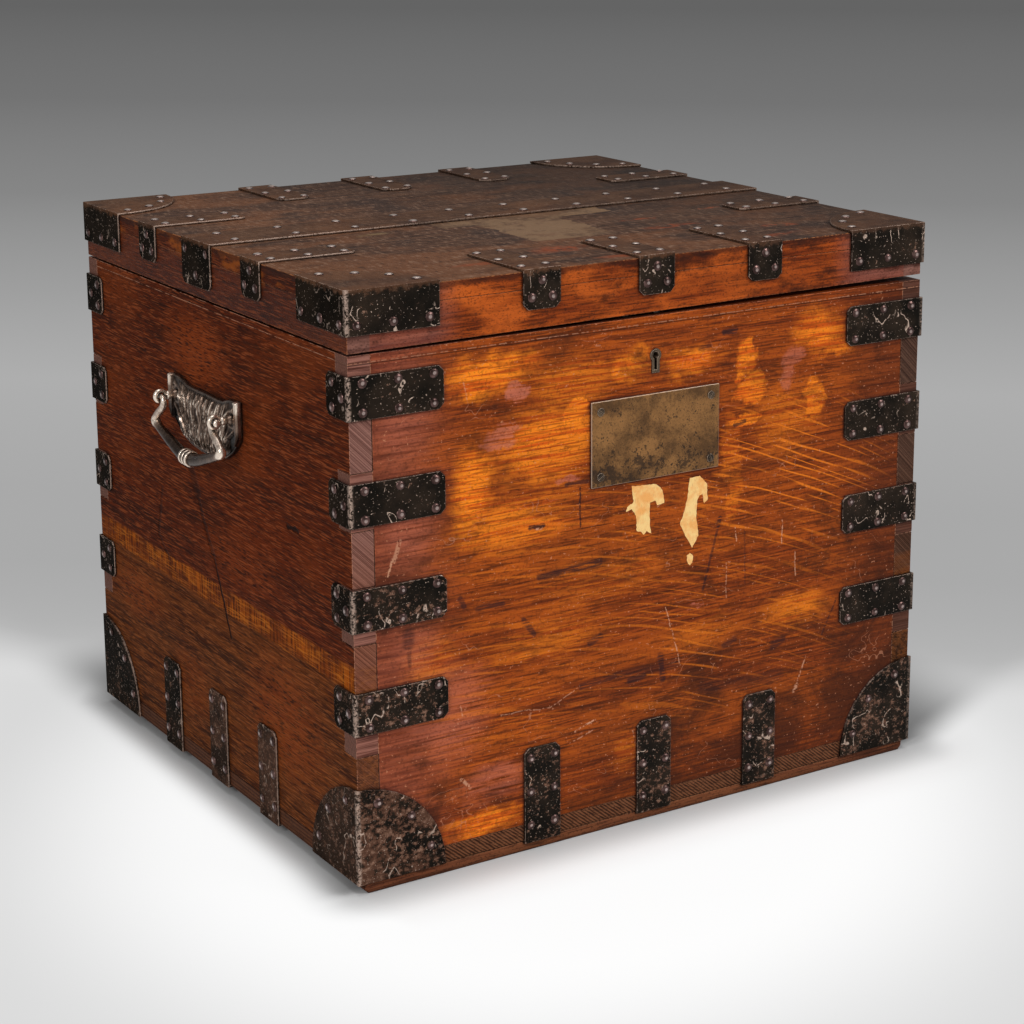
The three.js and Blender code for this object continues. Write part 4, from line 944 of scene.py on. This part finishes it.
WOOD_EDGE = 0.9 * MM
IRON_EDGE = 0.5 * MM
WORN_IRON = ("base_corner", "base_strap", "corner_strap_front_left_4", "corner_strap_front_left_3")
SLOTS = [  # start of a node's name, its slot, material and rounding; strapping is what no row names
    ("case_front", "oak", "front", WOOD_EDGE), ("case_back", "oak", "front", WOOD_EDGE),
    ("case_left", "oak", "side", WOOD_EDGE), ("case_right", "oak", "side", WOOD_EDGE),
    ("case_bottom", "oak", "base", WOOD_EDGE), ("runner", "oak", "base", 1.5 * MM),
    ("lid_frame", "oak", "rail", WOOD_EDGE), ("lid_board", "lid_top_oak", "lid_top", 1.4 * MM),
    ("escutcheon", "brass", "tarnished", 0.5 * MM), ("lock_case", "brass", "brass", 0.4 * MM),
    ("lock_bolt", "steel", "steel", 0.3 * MM), ("link_plate", "steel", "steel", 0.4 * MM),
    ("hinge_pin", "steel", "steel", 0.3 * MM), ("", "japanned_iron", "iron", IRON_EDGE),
]
OWN_FORMS = ("handle_", "name_plate", "baize_lining")

plain_nodes = [node for node in sorted(nodes) if not node.startswith(OWN_FORMS)]
for node in plain_nodes:
    _, slot, material, width = next(row for row in SLOTS if node.startswith(row[0]))
    dress(node, "worn_iron" if node.startswith(WORN_IRON) else material, width)


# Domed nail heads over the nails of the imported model
NAIL_RADIUS = 4.6 * MM
NAIL_HEIGHT = 1.85 * MM
NAIL_SUNK = 0.25 * MM
NAIL_LEAN = 0.09  # radians either way
NAIL_SPREAD = 0.07  # share of its size that a head is smaller or larger
NAIL_RINGS = 4
NAIL_SIDES = 14
FACES = [  # way out, and how far out the outer face of the iron lies
    (Vector((0, -1, 0)), -FRONT + IRON_OUT), (Vector((0, 1, 0)), BACK + IRON_OUT),
    (Vector((-1, 0, 0)), HALF_WIDTH + IRON_OUT), (Vector((1, 0, 0)), HALF_WIDTH + IRON_OUT),
    (Vector((0, 0, 1)), BOARD_TOP + IRON_OUT),
]
HINGE_CLEAR = 15 * MM  # nails are at least this far from the hinge axis
hinge_height = next(joint for joint in frame["joints"] if joint["name"] == "lid_hinge")["pos_m"][2]


def nail_places(node):
    """Foot of each nail on its face, and the way out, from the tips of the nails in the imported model."""
    found = {}
    for vertex in nodes[node].data.vertices:
        for out, reach in FACES:
            rise = vertex.co.dot(out) - reach
            near_hinge = node.startswith("hinge") and abs(vertex.co.z - hinge_height) < HINGE_CLEAR
            if abs(rise - NAIL_RISE) < 0.05 * MM and not near_hinge:
                key = tuple(round(value / MM) for value in vertex.co)
                found[key] = (vertex.co - out * NAIL_RISE, out)
    return list(found.values())


def add_dome(work, foot, out):
    turn = out.to_track_quat("Z", "Y").to_matrix().to_4x4()
    lean = Matrix()
    for axis in "XY":
        lean = lean @ Matrix.Rotation(random.uniform(-NAIL_LEAN, NAIL_LEAN), 4, axis)
    size = random.uniform(1 - NAIL_SPREAD, 1 + NAIL_SPREAD)
    rings = []
    for ring in range(NAIL_RINGS + 1):
        angle = math.pi / 2 * ring / NAIL_RINGS
        radius = NAIL_RADIUS * size * math.cos(angle)
        height = NAIL_HEIGHT * math.sin(angle) - NAIL_SUNK
        if ring == NAIL_RINGS:
            places = [(0, 0)]
        else:
            turns = [2 * math.pi * side / NAIL_SIDES for side in range(NAIL_SIDES)]
            places = [(radius * math.cos(around), radius * math.sin(around)) for around in turns]
        rings.append([work.verts.new(foot + (turn @ (lean @ Vector((u, v, height))))) for u, v in places])
    *_, last, (tip,) = rings
    for lower, upper in zip(rings, rings[1:-1]):
        close_ring(work, lower, upper)
    for side in range(NAIL_SIDES):
        work.faces.new((last[side], last[(side + 1) % NAIL_SIDES], tip))
    work.faces.new(list(reversed(rings[0])))


for body in ("case", "lid"):
    work = bmesh.new()
    for node in plain_nodes:
        if body_of_node(node) == body:
            for foot, out in nail_places(node):
                add_dome(work, foot, out)
    mesh = made_mesh(work, f"nails_{body}")
    mesh.shade_smooth()
    add_object(f"nails_{body}", mesh, body, "nail")


# Handles, each drawn in a plane of its own: across, up and out from the middle between its eyes
EYE_OUT = 62 * MM  # middle of the handle to an eye
STAND_OFF = 22 * MM  # wall to the axis of the eyes
PLATE_THICK = 5 * MM
PLATE_TOP = [
    (0, 13.5), (30, 13), (42, 13.8), (50, 16.5), (58, 18.2), (70, 18.8), (77, 18.6),
]
PLATE_FOOT = [
    (0, -47), (10, -46.9), (20, -46), (32, -44.6), (45, -41.5), (54, -36.8), (61, -32.5), (70, -25),
    (76, -18), (77, -15),
]
PLATE_ACROSS = 77
PLATE_COLUMNS = 190
PLATE_ROWS = 80
RIM_WIDTH = 2.2
EYE_POST = [  # turned post that carries an eye: out from the wall, radius and rub
    (3.5, 5.2, 0.3), (6.5, 4.6, 0.4), (8.5, 3.6, 0.5), (10.5, 3.4, 0.6), (12.5, 4.0, 0.9), (14, 4.4, 1.0),
    (15.5, 4.0, 0.9), (16.6, 3.2, 0.6), (17.6, 2.6, 0.5),
]
EYE_RADIUS = 5.2 * MM
EYE_THICKNESS = 2.1 * MM  # half of it


def along_line(points, place):
    for (start, low), (end, high) in zip(points, points[1:]):
        if place <= end:
            share = (place - start) / (end - start)
            return low + (high - low) * share
    return points[-1][1]


def smooth(value, low, high):
    share = min(max((value - low) / (high - low), 0.0), 1.0)
    return share * share * (3 - 2 * share)


def plate_relief(across, rise):
    """Height of the plate's face in millimetres, and how much it is rubbed and brightened with a painted
    highlight, from 0 to 1, less where painted shade lies.
    """
    top = along_line(PLATE_TOP, abs(across))
    foot = along_line(PLATE_FOOT, abs(across))
    inset = min(top - rise, rise - foot, (PLATE_ACROSS - abs(across)) * 1.2)
    # Leaf veins, which lean in towards the foot and break up into short ridges
    drawn_in = across * (1 + 0.011 * (PLATE_TOP[0][1] - rise))
    broken = noise.noise((drawn_in * 0.16, rise * 0.05, 3.0))
    ridges = 1 - abs(noise.noise((drawn_in * 0.17, rise * 0.035, 9.0))) * 3.0
    crests = 1 - abs(noise.noise((drawn_in * 0.3 + 4, rise * 0.055, 17.0))) * 3.2
    ridges, crests = max(ridges, 0), max(crests, 0)
    field = smooth(inset, RIM_WIDTH, RIM_WIDTH + 2.5) * (1 - smooth(abs(across), 52, 60))
    bulge = 3.4 * math.exp(-(across / 40) ** 2) * smooth(inset, 0, 16)
    veins = field * (2.0 * ridges + 1.3 * crests + 1.0 * broken)
    end_wall = 3.0 * smooth(abs(across), 69, 71)
    rim = 0.9 * smooth(inset, 0, 0.6) * (1 - smooth(inset, RIM_WIDTH - 1, RIM_WIDTH + 0.3))
    eye_away = math.hypot(abs(across) - EYE_OUT / MM, rise)
    ring = 1.2 * math.exp(-((eye_away - 8) / 1.6) ** 2)
    leaf = 2.2 * smooth(abs(across), 46, 52) * max(math.cos(0.3 * (rise - 0.7 * abs(across) + 36)), 0) ** 3 \
        * smooth(inset, 0.6, 3) * smooth(eye_away, 8, 11) * (1 - smooth(abs(across), 66, 69))
    height = PLATE_THICK / MM - 1.2 + bulge + veins + rim + ring + leaf + end_wall
    height -= 1.4 * (1 - smooth(inset, 0, 1.2))
    rubbed = 0.14 + 0.7 * field * crests ** 3 * (0.3 + ridges) + 0.55 * field * ridges ** 4
    rubbed += 0.15 * (rim > 0.5) + 0.25 * ring + 0.25 * leaf
    # the end walls, brighter higher up: rubbing and a painted highlight
    rubbed += (0.25 + 0.6 * smooth(rise, 0, 16)) * smooth(abs(across), 70, 72)
    shaded = smooth(abs(across), 48, 60) * smooth(rise, -6, -18)  # painted shade of the bail, and dirt, below the eyes
    return height, min(rubbed, 1.0) - 0.4 * shaded


def relief_plate(work, layer):
    """The plate as a closed block with a worked face and a flat back."""
    faces, backs = [], []
    for column in range(PLATE_COLUMNS + 1):
        across = -PLATE_ACROSS + 2 * PLATE_ACROSS * column / PLATE_COLUMNS
        top = along_line(PLATE_TOP, abs(across))
        foot = along_line(PLATE_FOOT, abs(across))
        row, back = [], []
        for step in range(PLATE_ROWS + 1):
            rise = foot + (top - foot) * step / PLATE_ROWS
            height, rubbed = plate_relief(across, rise)
            vertex = work.verts.new((across * MM, rise * MM, height * MM))
            vertex[layer] = rubbed
            row.append(vertex)
            if step in (0, PLATE_ROWS) or column in (0, PLATE_COLUMNS):
                under = work.verts.new((across * MM, rise * MM, 0.3 * MM))
                under[layer] = 1.0
                back.append(under)
            else:
                back.append(None)
        faces.append(row)
        backs.append(back)
    for column in range(PLATE_COLUMNS):
        for step in range(PLATE_ROWS):
            work.faces.new((faces[column][step], faces[column + 1][step],
                            faces[column + 1][step + 1], faces[column][step + 1]))
        for step, turn in ((0, 1), (PLATE_ROWS, -1)):
            loop = [backs[column][step], backs[column + 1][step]]
            loop += [faces[column + 1][step], faces[column][step]]
            work.faces.new(loop[::turn])
    for column, turn in ((0, -1), (PLATE_COLUMNS, 1)):
        for step in range(PLATE_ROWS):
            loop = backs[column][step:step + 2] + faces[column][step:step + 2][::-1]
            work.faces.new(loop[::turn])
    rim = [back[0] for back in backs] + backs[-1][1:]
    rim += [back[-1] for back in reversed(backs[:-1])] + backs[0][-2:0:-1]
    work.faces.new(list(reversed(rim)))


def sweep(work, layer, path, sides=20):
    """A closed rod along a path: each place is a point, a radius and how much it is rubbed."""
    rows = []
    for number, (place, radius, rubbed) in enumerate(path):
        before = path[max(number - 1, 0)][0]
        after = path[min(number + 1, len(path) - 1)][0]
        heading = (after - before).normalized()
        side = heading.cross(Vector((0, 0, 1))).normalized()
        lift = side.cross(heading)
        row = []
        for step in range(sides):
            around = 2 * math.pi * step / sides
            vertex = work.verts.new(place + (side * math.cos(around) + lift * math.sin(around)) * radius)
            vertex[layer] = rubbed
            row.append(vertex)
        rows.append(row)
    for lower, upper in zip(rows, rows[1:]):
        close_ring(work, lower, upper)
    work.faces.new(list(reversed(rows[0])))
    work.faces.new(rows[-1])


def add_ring(work, layer, middle, radius, thickness, steps=28, sides=14):
    """A ring whose hole runs across the handle."""
    rows = []
    for step in range(steps):
        around = 2 * math.pi * step / steps
        spoke = Vector((0, math.cos(around), math.sin(around)))
        row = []
        for side in range(sides):
            turn = 2 * math.pi * side / sides
            place = middle + spoke * (radius + thickness * math.cos(turn))
            vertex = work.verts.new(place + Vector((thickness * 1.15 * math.sin(turn), 0, 0)))
            vertex[layer] = 0.95
            row.append(vertex)
        rows.append(row)
    for step in range(steps):
        close_ring(work, rows[(step + 1) % steps], rows[step])


def curve(points, steps):
    """Places on a smooth curve through the points, each an across, rise, radius and rub."""
    made = []
    for number in range(len(points) - 1):
        p0 = Vector(points[max(number - 1, 0)])
        p1 = Vector(points[number])
        p2 = Vector(points[number + 1])
        p3 = Vector(points[min(number + 2, len(points) - 1)])
        for step in range(steps):
            t = step / steps
            made.append(0.5 * (2 * p1 + (p2 - p0) * t + (2 * p0 - 5 * p1 + 4 * p2 - p3) * t * t
                               + (3 * p1 - p0 - 3 * p2 + p3) * t * t * t))
    made.append(Vector(points[-1]))
    return made


# Half of the bail, from the grip's collars out: across, rise, radius and rub
BAIL_GRIP = [
    (0, -48, 7.9, 1.0), (1.2, -48, 7.9, 1.0), (1.5, -48, 7.5, 0.7), (1.9, -48, 5.3, -0.8),
    (4.5, -48, 5.3, -0.8), (4.9, -48, 7.5, 0.7), (5.2, -48, 7.9, 1.0), (7.7, -48, 7.9, 1.0),
    (8.0, -48, 7.5, 0.9), (8.5, -48, 6.1, 0.1),
]
BAIL_ARM = [
    (8.5, -48, 6.1, 0.1), (20, -46.3, 5.8, 0.16), (42, -39.8, 5.1, 0.2), (62, -33.5, 4.3, 0.3),
    (68, -31.2, 4.2, 0.5), (73.5, -28.5, 4.9, 1.0), (75, -25.5, 4.7, 1.0), (72.5, -21.8, 3.8, 0.7),
    (66.5, -16.8, 3.9, 0.7), (61.5, -13.6, 3.8, 0.7), (56.6, -9.4, 3.4, 0.75), (54.6, -5.6, 3.0, 0.8),
]
BAIL_PIN = [
    (54.6, -5.6, 3.0, 0.8), (54.5, -3.2, 2.7, 0.9), (55.4, -1.2, 2.5, 0.9), (57.6, -0.2, 2.4, 0.9),
    (59.5, 0, 2.4, 0.8), (66.4, 0, 2.4, 0.8),
]
BAIL_HEAD = [
    (66.5, 0, 2.4, 0.8), (66.8, 0, 3.5, 1.0), (68.2, 0, 3.7, 1.0), (69.4, 0, 3.2, 1.0),
    (70.0, 0, 1.6, 1.0),
]


def handle_mesh(name, build, side):
    """Builds a mesh in the handle's plane and stands it against the left or right wall."""
    work = bmesh.new()
    layer = work.verts.layers.float.new("relief")
    build(work, layer)
    axis = next(joint for joint in frame["joints"] if joint["name"] == f"{side}_bail_swing")["pos_m"]
    out = Vector((-1 if side == "left" else 1, 0, 0))
    up = Vector((0, 0, 1))
    across = up.cross(out)
    placing = Matrix((across, up, out)).transposed().to_4x4()
    placing.translation = Vector(axis) - out * STAND_OFF
    work.transform(placing)
    bmesh.ops.recalc_face_normals(work, faces=work.faces)
    mesh = made_mesh(work, name)
    mesh.shade_smooth()
    return mesh


def build_plate(work, layer):
    relief_plate(work, layer)
    for sign in (-1, 1):
        middle = Vector((sign * EYE_OUT, 0, 0))
        rod = [(Vector((out * MM, 0, 0)), radius * MM, rubbed) for out, radius, rubbed in EYE_POST]
        start = len(work.verts)
        sweep(work, layer, rod, 18)
        work.verts.ensure_lookup_table()
        for vertex in work.verts[start:]:
            vertex.co = Vector((middle.x + vertex.co.z, vertex.co.y, vertex.co.x))
        add_ring(work, layer, Vector((sign * EYE_OUT, 0, STAND_OFF)), EYE_RADIUS, EYE_THICKNESS)


def build_bail(work, layer):
    half = [Vector(point) for point in BAIL_GRIP] + curve(BAIL_ARM, 6)[1:] + curve(BAIL_PIN, 5)[1:]
    half += [Vector(point) for point in BAIL_HEAD]
    mirrored = [Vector((-point[0], point[1], point[2], point[3])) for point in reversed(half[1:])]
    path = [(Vector((point[0], point[1], STAND_OFF / MM)) * MM, point[2] * MM, point[3])
            for point in mirrored + half]
    sweep(work, layer, path)


for side in ("left", "right"):
    for part, build, body in (("plate", build_plate, "case"), ("bail", build_bail, f"{side}_bail")):
        mesh = handle_mesh(f"handle_{part}_{side}_cast", build, side)
        piece = add_object(f"handle_{part}_{side}_cast", mesh, body, "cast")
        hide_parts(f"handle_{part}_{side}")


# Name plate, bare, with four slotted screws
PLATE_SCREW_INSET = 10 * MM
SCREW_RADIUS = 3.9 * MM
SCREW_SLOT = 0.55 * MM  # half its width
SCREW_OUT = 0.7 * MM  # face of the plate to the top of a head
SLOT_FLOOR = 0.25 * MM  # face of the plate to the floor of a slot
SCREW_SUNK = 0.3 * MM
SCREW_STEPS = 16
SCREW_TURNS = (0.6, 1.9, 2.5, 0.9)  # of the slots, in radians
plate_low, plate_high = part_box("name_plate")
plate_face = plate_low.y + 0.8 * MM


def add_block(work, low, high):
    corners = [work.verts.new(place) for place in itertools.product(*zip(low, high))]
    for loop in ((0, 1, 3, 2), (4, 6, 7, 5), (0, 4, 5, 1), (2, 3, 7, 6), (0, 2, 6, 4), (1, 5, 7, 3)):
        work.faces.new([corners[number] for number in loop])


def add_screw(work, x, z, turn):
    """A countersunk head as two half discs, with a slot between them, on a lower disc."""
    def disc(angles, radius, out):
        outline = [(x + radius * math.cos(angle), z + radius * math.sin(angle)) for angle in angles]
        add_slab(work, outline, plate_face - out, plate_face + SCREW_SUNK)

    start = math.asin(SCREW_SLOT / SCREW_RADIUS)
    for flip in (0, math.pi):
        arc = [start + (math.pi - 2 * start) * step / SCREW_STEPS + flip + turn
               for step in range(SCREW_STEPS + 1)]
        disc(arc, SCREW_RADIUS, SCREW_OUT)
    disc([math.pi * step / SCREW_STEPS for step in range(2 * SCREW_STEPS)], 0.98 * SCREW_RADIUS, SLOT_FLOOR)


def plate_piece(name, work, material, width):
    bmesh.ops.recalc_face_normals(work, faces=work.faces)
    piece = add_object(name, made_mesh(work, name), "case", material)
    soften(piece, width)
    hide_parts("name_plate")


work = bmesh.new()
add_block(work, Vector((plate_low.x, plate_face, plate_low.z)), plate_high)
plate_piece("name_plate_bare", work, "plate", 1.5 * MM)
work = bmesh.new()
screw_ups = (plate_low.z + PLATE_SCREW_INSET, plate_high.z - PLATE_SCREW_INSET)
screw_acrosses = (plate_low.x + PLATE_SCREW_INSET, plate_high.x - PLATE_SCREW_INSET)
for (z, x), turn in zip(itertools.product(screw_ups, screw_acrosses), SCREW_TURNS):
    add_screw(work, x, z, turn)
plate_piece("name_plate_screws", work, "tarnished", 0.3 * MM)


# Scraps of a torn paper label below the plate: outlines across and up, in millimetres
SCRAPS = [
    [(-26, 334), (-12, 333), (2, 332), (9, 325), (11, 312), (3, 311), (1, 316), (-5, 315), (-6, 301),
     (-4, 285), (-9, 288), (-12, 285), (-15, 288), (-20, 290), (-21, 305), (-26, 312), (-32, 310), (-31, 315),
     (-24, 318)],
    [(40, 332), (52, 332), (60, 323), (61, 307), (57, 305), (55, 314), (52, 313), (49, 309), (48, 294),
     (51, 274), (44, 263), (37, 274), (29, 289), (34, 299), (38, 315)],
    [(38, 256), (41, 258), (45, 255), (44, 248), (41, 246), (38, 250)],
]
PAPER_THICK = 0.25 * MM
PAPER_SUNK = 0.02 * MM


def torn_outline(points):
    """Points along the outline with a small ragged wander."""
    made = []
    for number, (x, z) in enumerate(points):
        next_x, next_z = points[(number + 1) % len(points)]
        steps = max(2, round(math.hypot(next_x - x, next_z - z) / 2))
        for step in range(steps):
            place = Vector((x + (next_x - x) * step / steps, 0, z + (next_z - z) * step / steps))
            wander = noise.noise_vector(place * 0.55) * 0.9
            made.append(((place.x + wander.x) * MM, (place.z + wander.z) * MM))
    return made


for number, scrap in enumerate(SCRAPS, 1):
    work = bmesh.new()
    add_slab(work, torn_outline(scrap), FRONT - PAPER_SUNK - PAPER_THICK, FRONT + PAPER_SUNK)
    bmesh.ops.recalc_face_normals(work, faces=work.faces)
    name = f"paper_scrap_{number}"
    add_object(name, made_mesh(work, name), "case", "paper")


# Baize lining: one cloth over the floor and up the walls, cut round the lock
lining_low, lining_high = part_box("baize_lining")
lock_low, lock_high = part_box("lock_case")
BAIZE_THICK = 2 * MM
LOCK_MARGIN = 4 * MM
CLOTH_CELL = 22 * MM


def stops(low, high, extra=()):
    """Even stops from low to high that also take in the extra places."""
    count = round((high - low) / CLOTH_CELL)
    even = [low + (high - low) * step / count for step in range(count + 1)]
    kept = [value for value in even if all(abs(value - place) > CLOTH_CELL / 3 for place in extra)]
    return sorted(kept + list(extra))


def lining_mesh():
    work = bmesh.new()
    low = lining_low + Vector((1, 1, 1)) * BAIZE_THICK
    high = lining_high - Vector((1, 1, 0)) * BAIZE_THICK
    cut_x = (lock_low.x - LOCK_MARGIN, lock_high.x + LOCK_MARGIN)
    cut_z = lock_low.z - LOCK_MARGIN
    xs = stops(low.x, high.x, cut_x)
    ys = stops(low.y, high.y)
    zs = stops(low.z, high.z, (cut_z,))

    def panel(firsts, seconds, place, skip=lambda u, v: False):
        grid = [[work.verts.new(place(u, v)) for v in seconds] for u in firsts]
        for i in range(len(firsts) - 1):
            for j in range(len(seconds) - 1):
                middle = ((firsts[i] + firsts[i + 1]) / 2, (seconds[j] + seconds[j + 1]) / 2)
                if not skip(*middle):
                    work.faces.new((grid[i][j], grid[i + 1][j], grid[i + 1][j + 1], grid[i][j + 1]))

    panel(xs, ys, lambda x, y: Vector((x, y, low.z)))
    panel(xs, zs, lambda x, z: Vector((x, low.y, z)), lambda x, z: cut_x[0] < x < cut_x[1] and z > cut_z)
    panel(xs, zs, lambda x, z: Vector((x, high.y, z)))
    panel(ys, zs, lambda y, z: Vector((low.x, y, z)))
    panel(ys, zs, lambda y, z: Vector((high.x, y, z)))
    bmesh.ops.remove_doubles(work, verts=work.verts, dist=1e-5)
    loose = [vertex for vertex in work.verts if not vertex.link_faces]
    bmesh.ops.delete(work, geom=loose, context="VERTS")
    bmesh.ops.recalc_face_normals(work, faces=work.faces)
    if next(face for face in work.faces if abs(face.normal.z) > 0.9).normal.z < 0:
        bmesh.ops.reverse_faces(work, faces=work.faces)
    for vertex in work.verts:
        wave = noise.noise(vertex.co * 9) * 0.5 * MM + noise.noise(vertex.co * 37) * 0.25 * MM
        vertex.co += vertex.normal * max(wave, 0)
    area = sum(face.calc_area() for face in work.faces)
    mesh = made_mesh(work, "baize_cloth")
    mesh.shade_smooth()
    return mesh, area


cloth_mesh, cloth_area = lining_mesh()
cloth = add_object("baize_cloth", cloth_mesh, "case", "baize")
thicken = cloth.modifiers.new("thickness", "SOLIDIFY")
thicken.thickness = BAIZE_THICK - 0.2 * MM
thicken.offset = -1
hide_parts("baize_lining")


# Camera at the photograph's viewing angle
VIEW_TURN = 0.57339
VIEW_DIP = 0.23294
VIEW_ROLL = -0.00223
CAMERA_PLACE = Vector((-1.2167, -2.02114, 0.92676))
heading = Vector((math.sin(VIEW_TURN), math.cos(VIEW_TURN), 0))
forward = heading * math.cos(VIEW_DIP) - Vector((0, 0, math.sin(VIEW_DIP)))
rightward = Vector((math.cos(VIEW_TURN), -math.sin(VIEW_TURN), 0))
upward = rightward.cross(forward)
turned_right = rightward * math.cos(VIEW_ROLL) + upward * math.sin(VIEW_ROLL)
turned_up = upward * math.cos(VIEW_ROLL) - rightward * math.sin(VIEW_ROLL)
camera = bpy.data.objects.new("camera", bpy.data.cameras.new("camera"))
bpy.context.scene.collection.objects.link(camera)
camera.matrix_world = Matrix.Translation(CAMERA_PLACE) @ Matrix(
    (turned_right, turned_up, -forward)).transposed().to_4x4()
camera.data.sensor_width = 36
camera.data.lens = 82.848
camera.data.shift_x = -0.0505
camera.data.shift_y = -0.1227
camera.data.clip_end = 200
bpy.context.scene.camera = camera


# Floor and backdrop: a painted pool of white light round the chest, and grey away from the camera
FLOOR_REACH = 40
GREYS = [  # metres from the camera along its heading, and the grey there
    (2.36, 230), (2.45, 217), (2.52, 200), (2.6, 182), (2.72, 176), (2.88, 171), (3.2, 169), (3.9, 174),
    (4.7, 158), (6.0, 134), (8.2, 115), (12.5, 100),
]
POOL_AWAY = 2.2  # camera to the middle of the pool, along its heading
POOL_SIZE = (0.54, 0.66)  # half its width and half its length
POOL_LEFT = 0.03  # its middle to the line of the camera's heading
POOL_LEAN = 0.09  # the white ends nearer on the right by this share of the way across
SHADE_START = (-0.37, -0.28)  # places across between which the chest's soft shade begins
SHADE_SLANT = 0.465  # its near edge runs back by this share of the way across
SHADE_NEAR = (-0.475, -0.415)
SHADE_FRONT = (0.31, 0.36)  # places across past which it reaches in front of the chest too
floor_mesh = bpy.data.meshes.new("floor")
floor_corners = [(u * FLOOR_REACH, v * FLOOR_REACH, 0) for u, v in ((-1, -1), (1, -1), (1, 1), (-1, 1))]
floor_mesh.from_pydata(floor_corners, [], [(0, 1, 2, 3)])
floor = bpy.data.objects.new("floor", floor_mesh)
bpy.context.scene.collection.objects.link(floor)

shader = Shader("floor")
x, y, _ = shader.axes
path = shader.add("ShaderNodeLightPath")
rays = [path.outputs[f"Is {kind} Ray"] for kind in ("Camera", "Glossy", "Transmission")]
seen = shader.most(Field(shader, ray) for ray in rays)
pool_way = heading + rightward * POOL_LEAN
away = shader.vector_math("DOT_PRODUCT", shader.place, tuple(pool_way), output=1) - CAMERA_PLACE.dot(heading)
shade = x.step(*SHADE_START) * (y - x * SHADE_SLANT).step(*SHADE_NEAR)
shade = shade * shader.most([y.step(FRONT, FRONT + 20 * MM), x.step(*SHADE_FRONT)])
away = away + (shade - 1.0) * 0.06  # the white reaches further back on both sides of the chest's shade
ramp = shader.add("ShaderNodeValToRGB", {0: away * (1 / GREYS[-1][0])})
for number, (distance, grey) in enumerate(GREYS):
    stop = ramp.color_ramp.elements[number] if number < 2 else ramp.color_ramp.elements.new(1.0)
    stop.position = distance / GREYS[-1][0]
    stop.color = tone(grey, grey, grey)
flat_camera = (CAMERA_PLACE.x, CAMERA_PLACE.y, 0)
offset = shader.vector_math("SUBTRACT", shader.place, flat_camera)
ahead = shader.vector_math("DOT_PRODUCT", offset, tuple(heading), output=1) - POOL_AWAY
across = shader.vector_math("DOT_PRODUCT", offset, tuple(rightward), output=1) + POOL_LEFT
light_pool = shader.vector_math("LENGTH", shader.vector(
    across * (1 / POOL_SIZE[0]), ahead * (1 / POOL_SIZE[1]), 0.0), output=1)
# the painted pool of light fades from white to light grey
grey = light_pool.tones(0.58, 1.08, (254, 254, 254), (220, 220, 220))
grey = grey.tint(away.step(2.36, 2.46), Field(shader, ramp.outputs[0]))

# A painted soft shadow beside the chest and behind it, a painted contact shadow along its front, and the real
# shadow close to it
aside = [shader.math("MAXIMUM", abs(place) - half, 0.0) for place, half in
         ((x, HALF_WIDTH), (y - MIDDLE_Y, (BACK - FRONT) / 2))]
from_chest = shader.vector_math("LENGTH", shader.vector(aside[0], aside[1], 0.0), output=1)
painted_contact_shadow = from_chest.step(0.06, 0.0) * y.step(FRONT + 0.09, FRONT - 0.01)
grey = grey.layers(
    (shade * from_chest.step(0.215, 0.06) * 0.95, (124, 124, 124)),
    (painted_contact_shadow * 0.36, (0, 0, 0)),
)
left = x.step(-0.3, -0.35)  # the shadow is narrower there than in front
share = (from_chest * (1.0 + left * 1.4)).step(-0.005, 0.1) * 0.92
share = (share + from_chest.step(0.3, 0.9) * 0.08) * seen
white = shader.add("ShaderNodeBsdfDiffuse", {"Color": grey})
lit = shader.add("ShaderNodeEmission", {"Color": grey})
mixed = shader.add("ShaderNodeMixShader", {0: share})
shader.tree.links.new(white.outputs[0], mixed.inputs[1])
shader.tree.links.new(lit.outputs[0], mixed.inputs[2])
out = shader.add("ShaderNodeOutputMaterial")
shader.tree.links.new(mixed.outputs[0], out.inputs[0])
floor_mesh.materials.append(shader.material)


# Soft studio light
LIT_PLACE = Vector((0, 0, 0.3))  # the lamps point there
WORLD_GREY = 188
WORLD_STRENGTH = 0.6


def add_lamp(name, place, size, power):
    lamp = bpy.data.lights.new(name, "AREA")
    lamp.shape = "RECTANGLE"
    lamp.size, lamp.size_y = size
    lamp.energy = power
    holder = bpy.data.objects.new(name, lamp)
    bpy.context.scene.collection.objects.link(holder)
    holder.location = place
    holder.rotation_euler = (LIT_PLACE - Vector(place)).to_track_quat("-Z", "Y").to_euler()


add_lamp("key_right", (1.5, -2.3, 2.0), (1.1, 1.0), 40)
add_lamp("key_left", (-2.5, -1.1, 1.6), (1.0, 1.0), 30)
add_lamp("top", (0.0, 0.0, 2.9), (2.0, 2.0), 26)

world = bpy.data.worlds.new("studio")
bpy.context.scene.world = world
world.use_nodes = True
background = world.node_tree.nodes["Background"]
background.inputs["Color"].default_value = tone(WORLD_GREY, WORLD_GREY, WORLD_GREY)
background.inputs["Strength"].default_value = WORLD_STRENGTH

bpy.context.scene.view_settings.view_transform = "Standard"
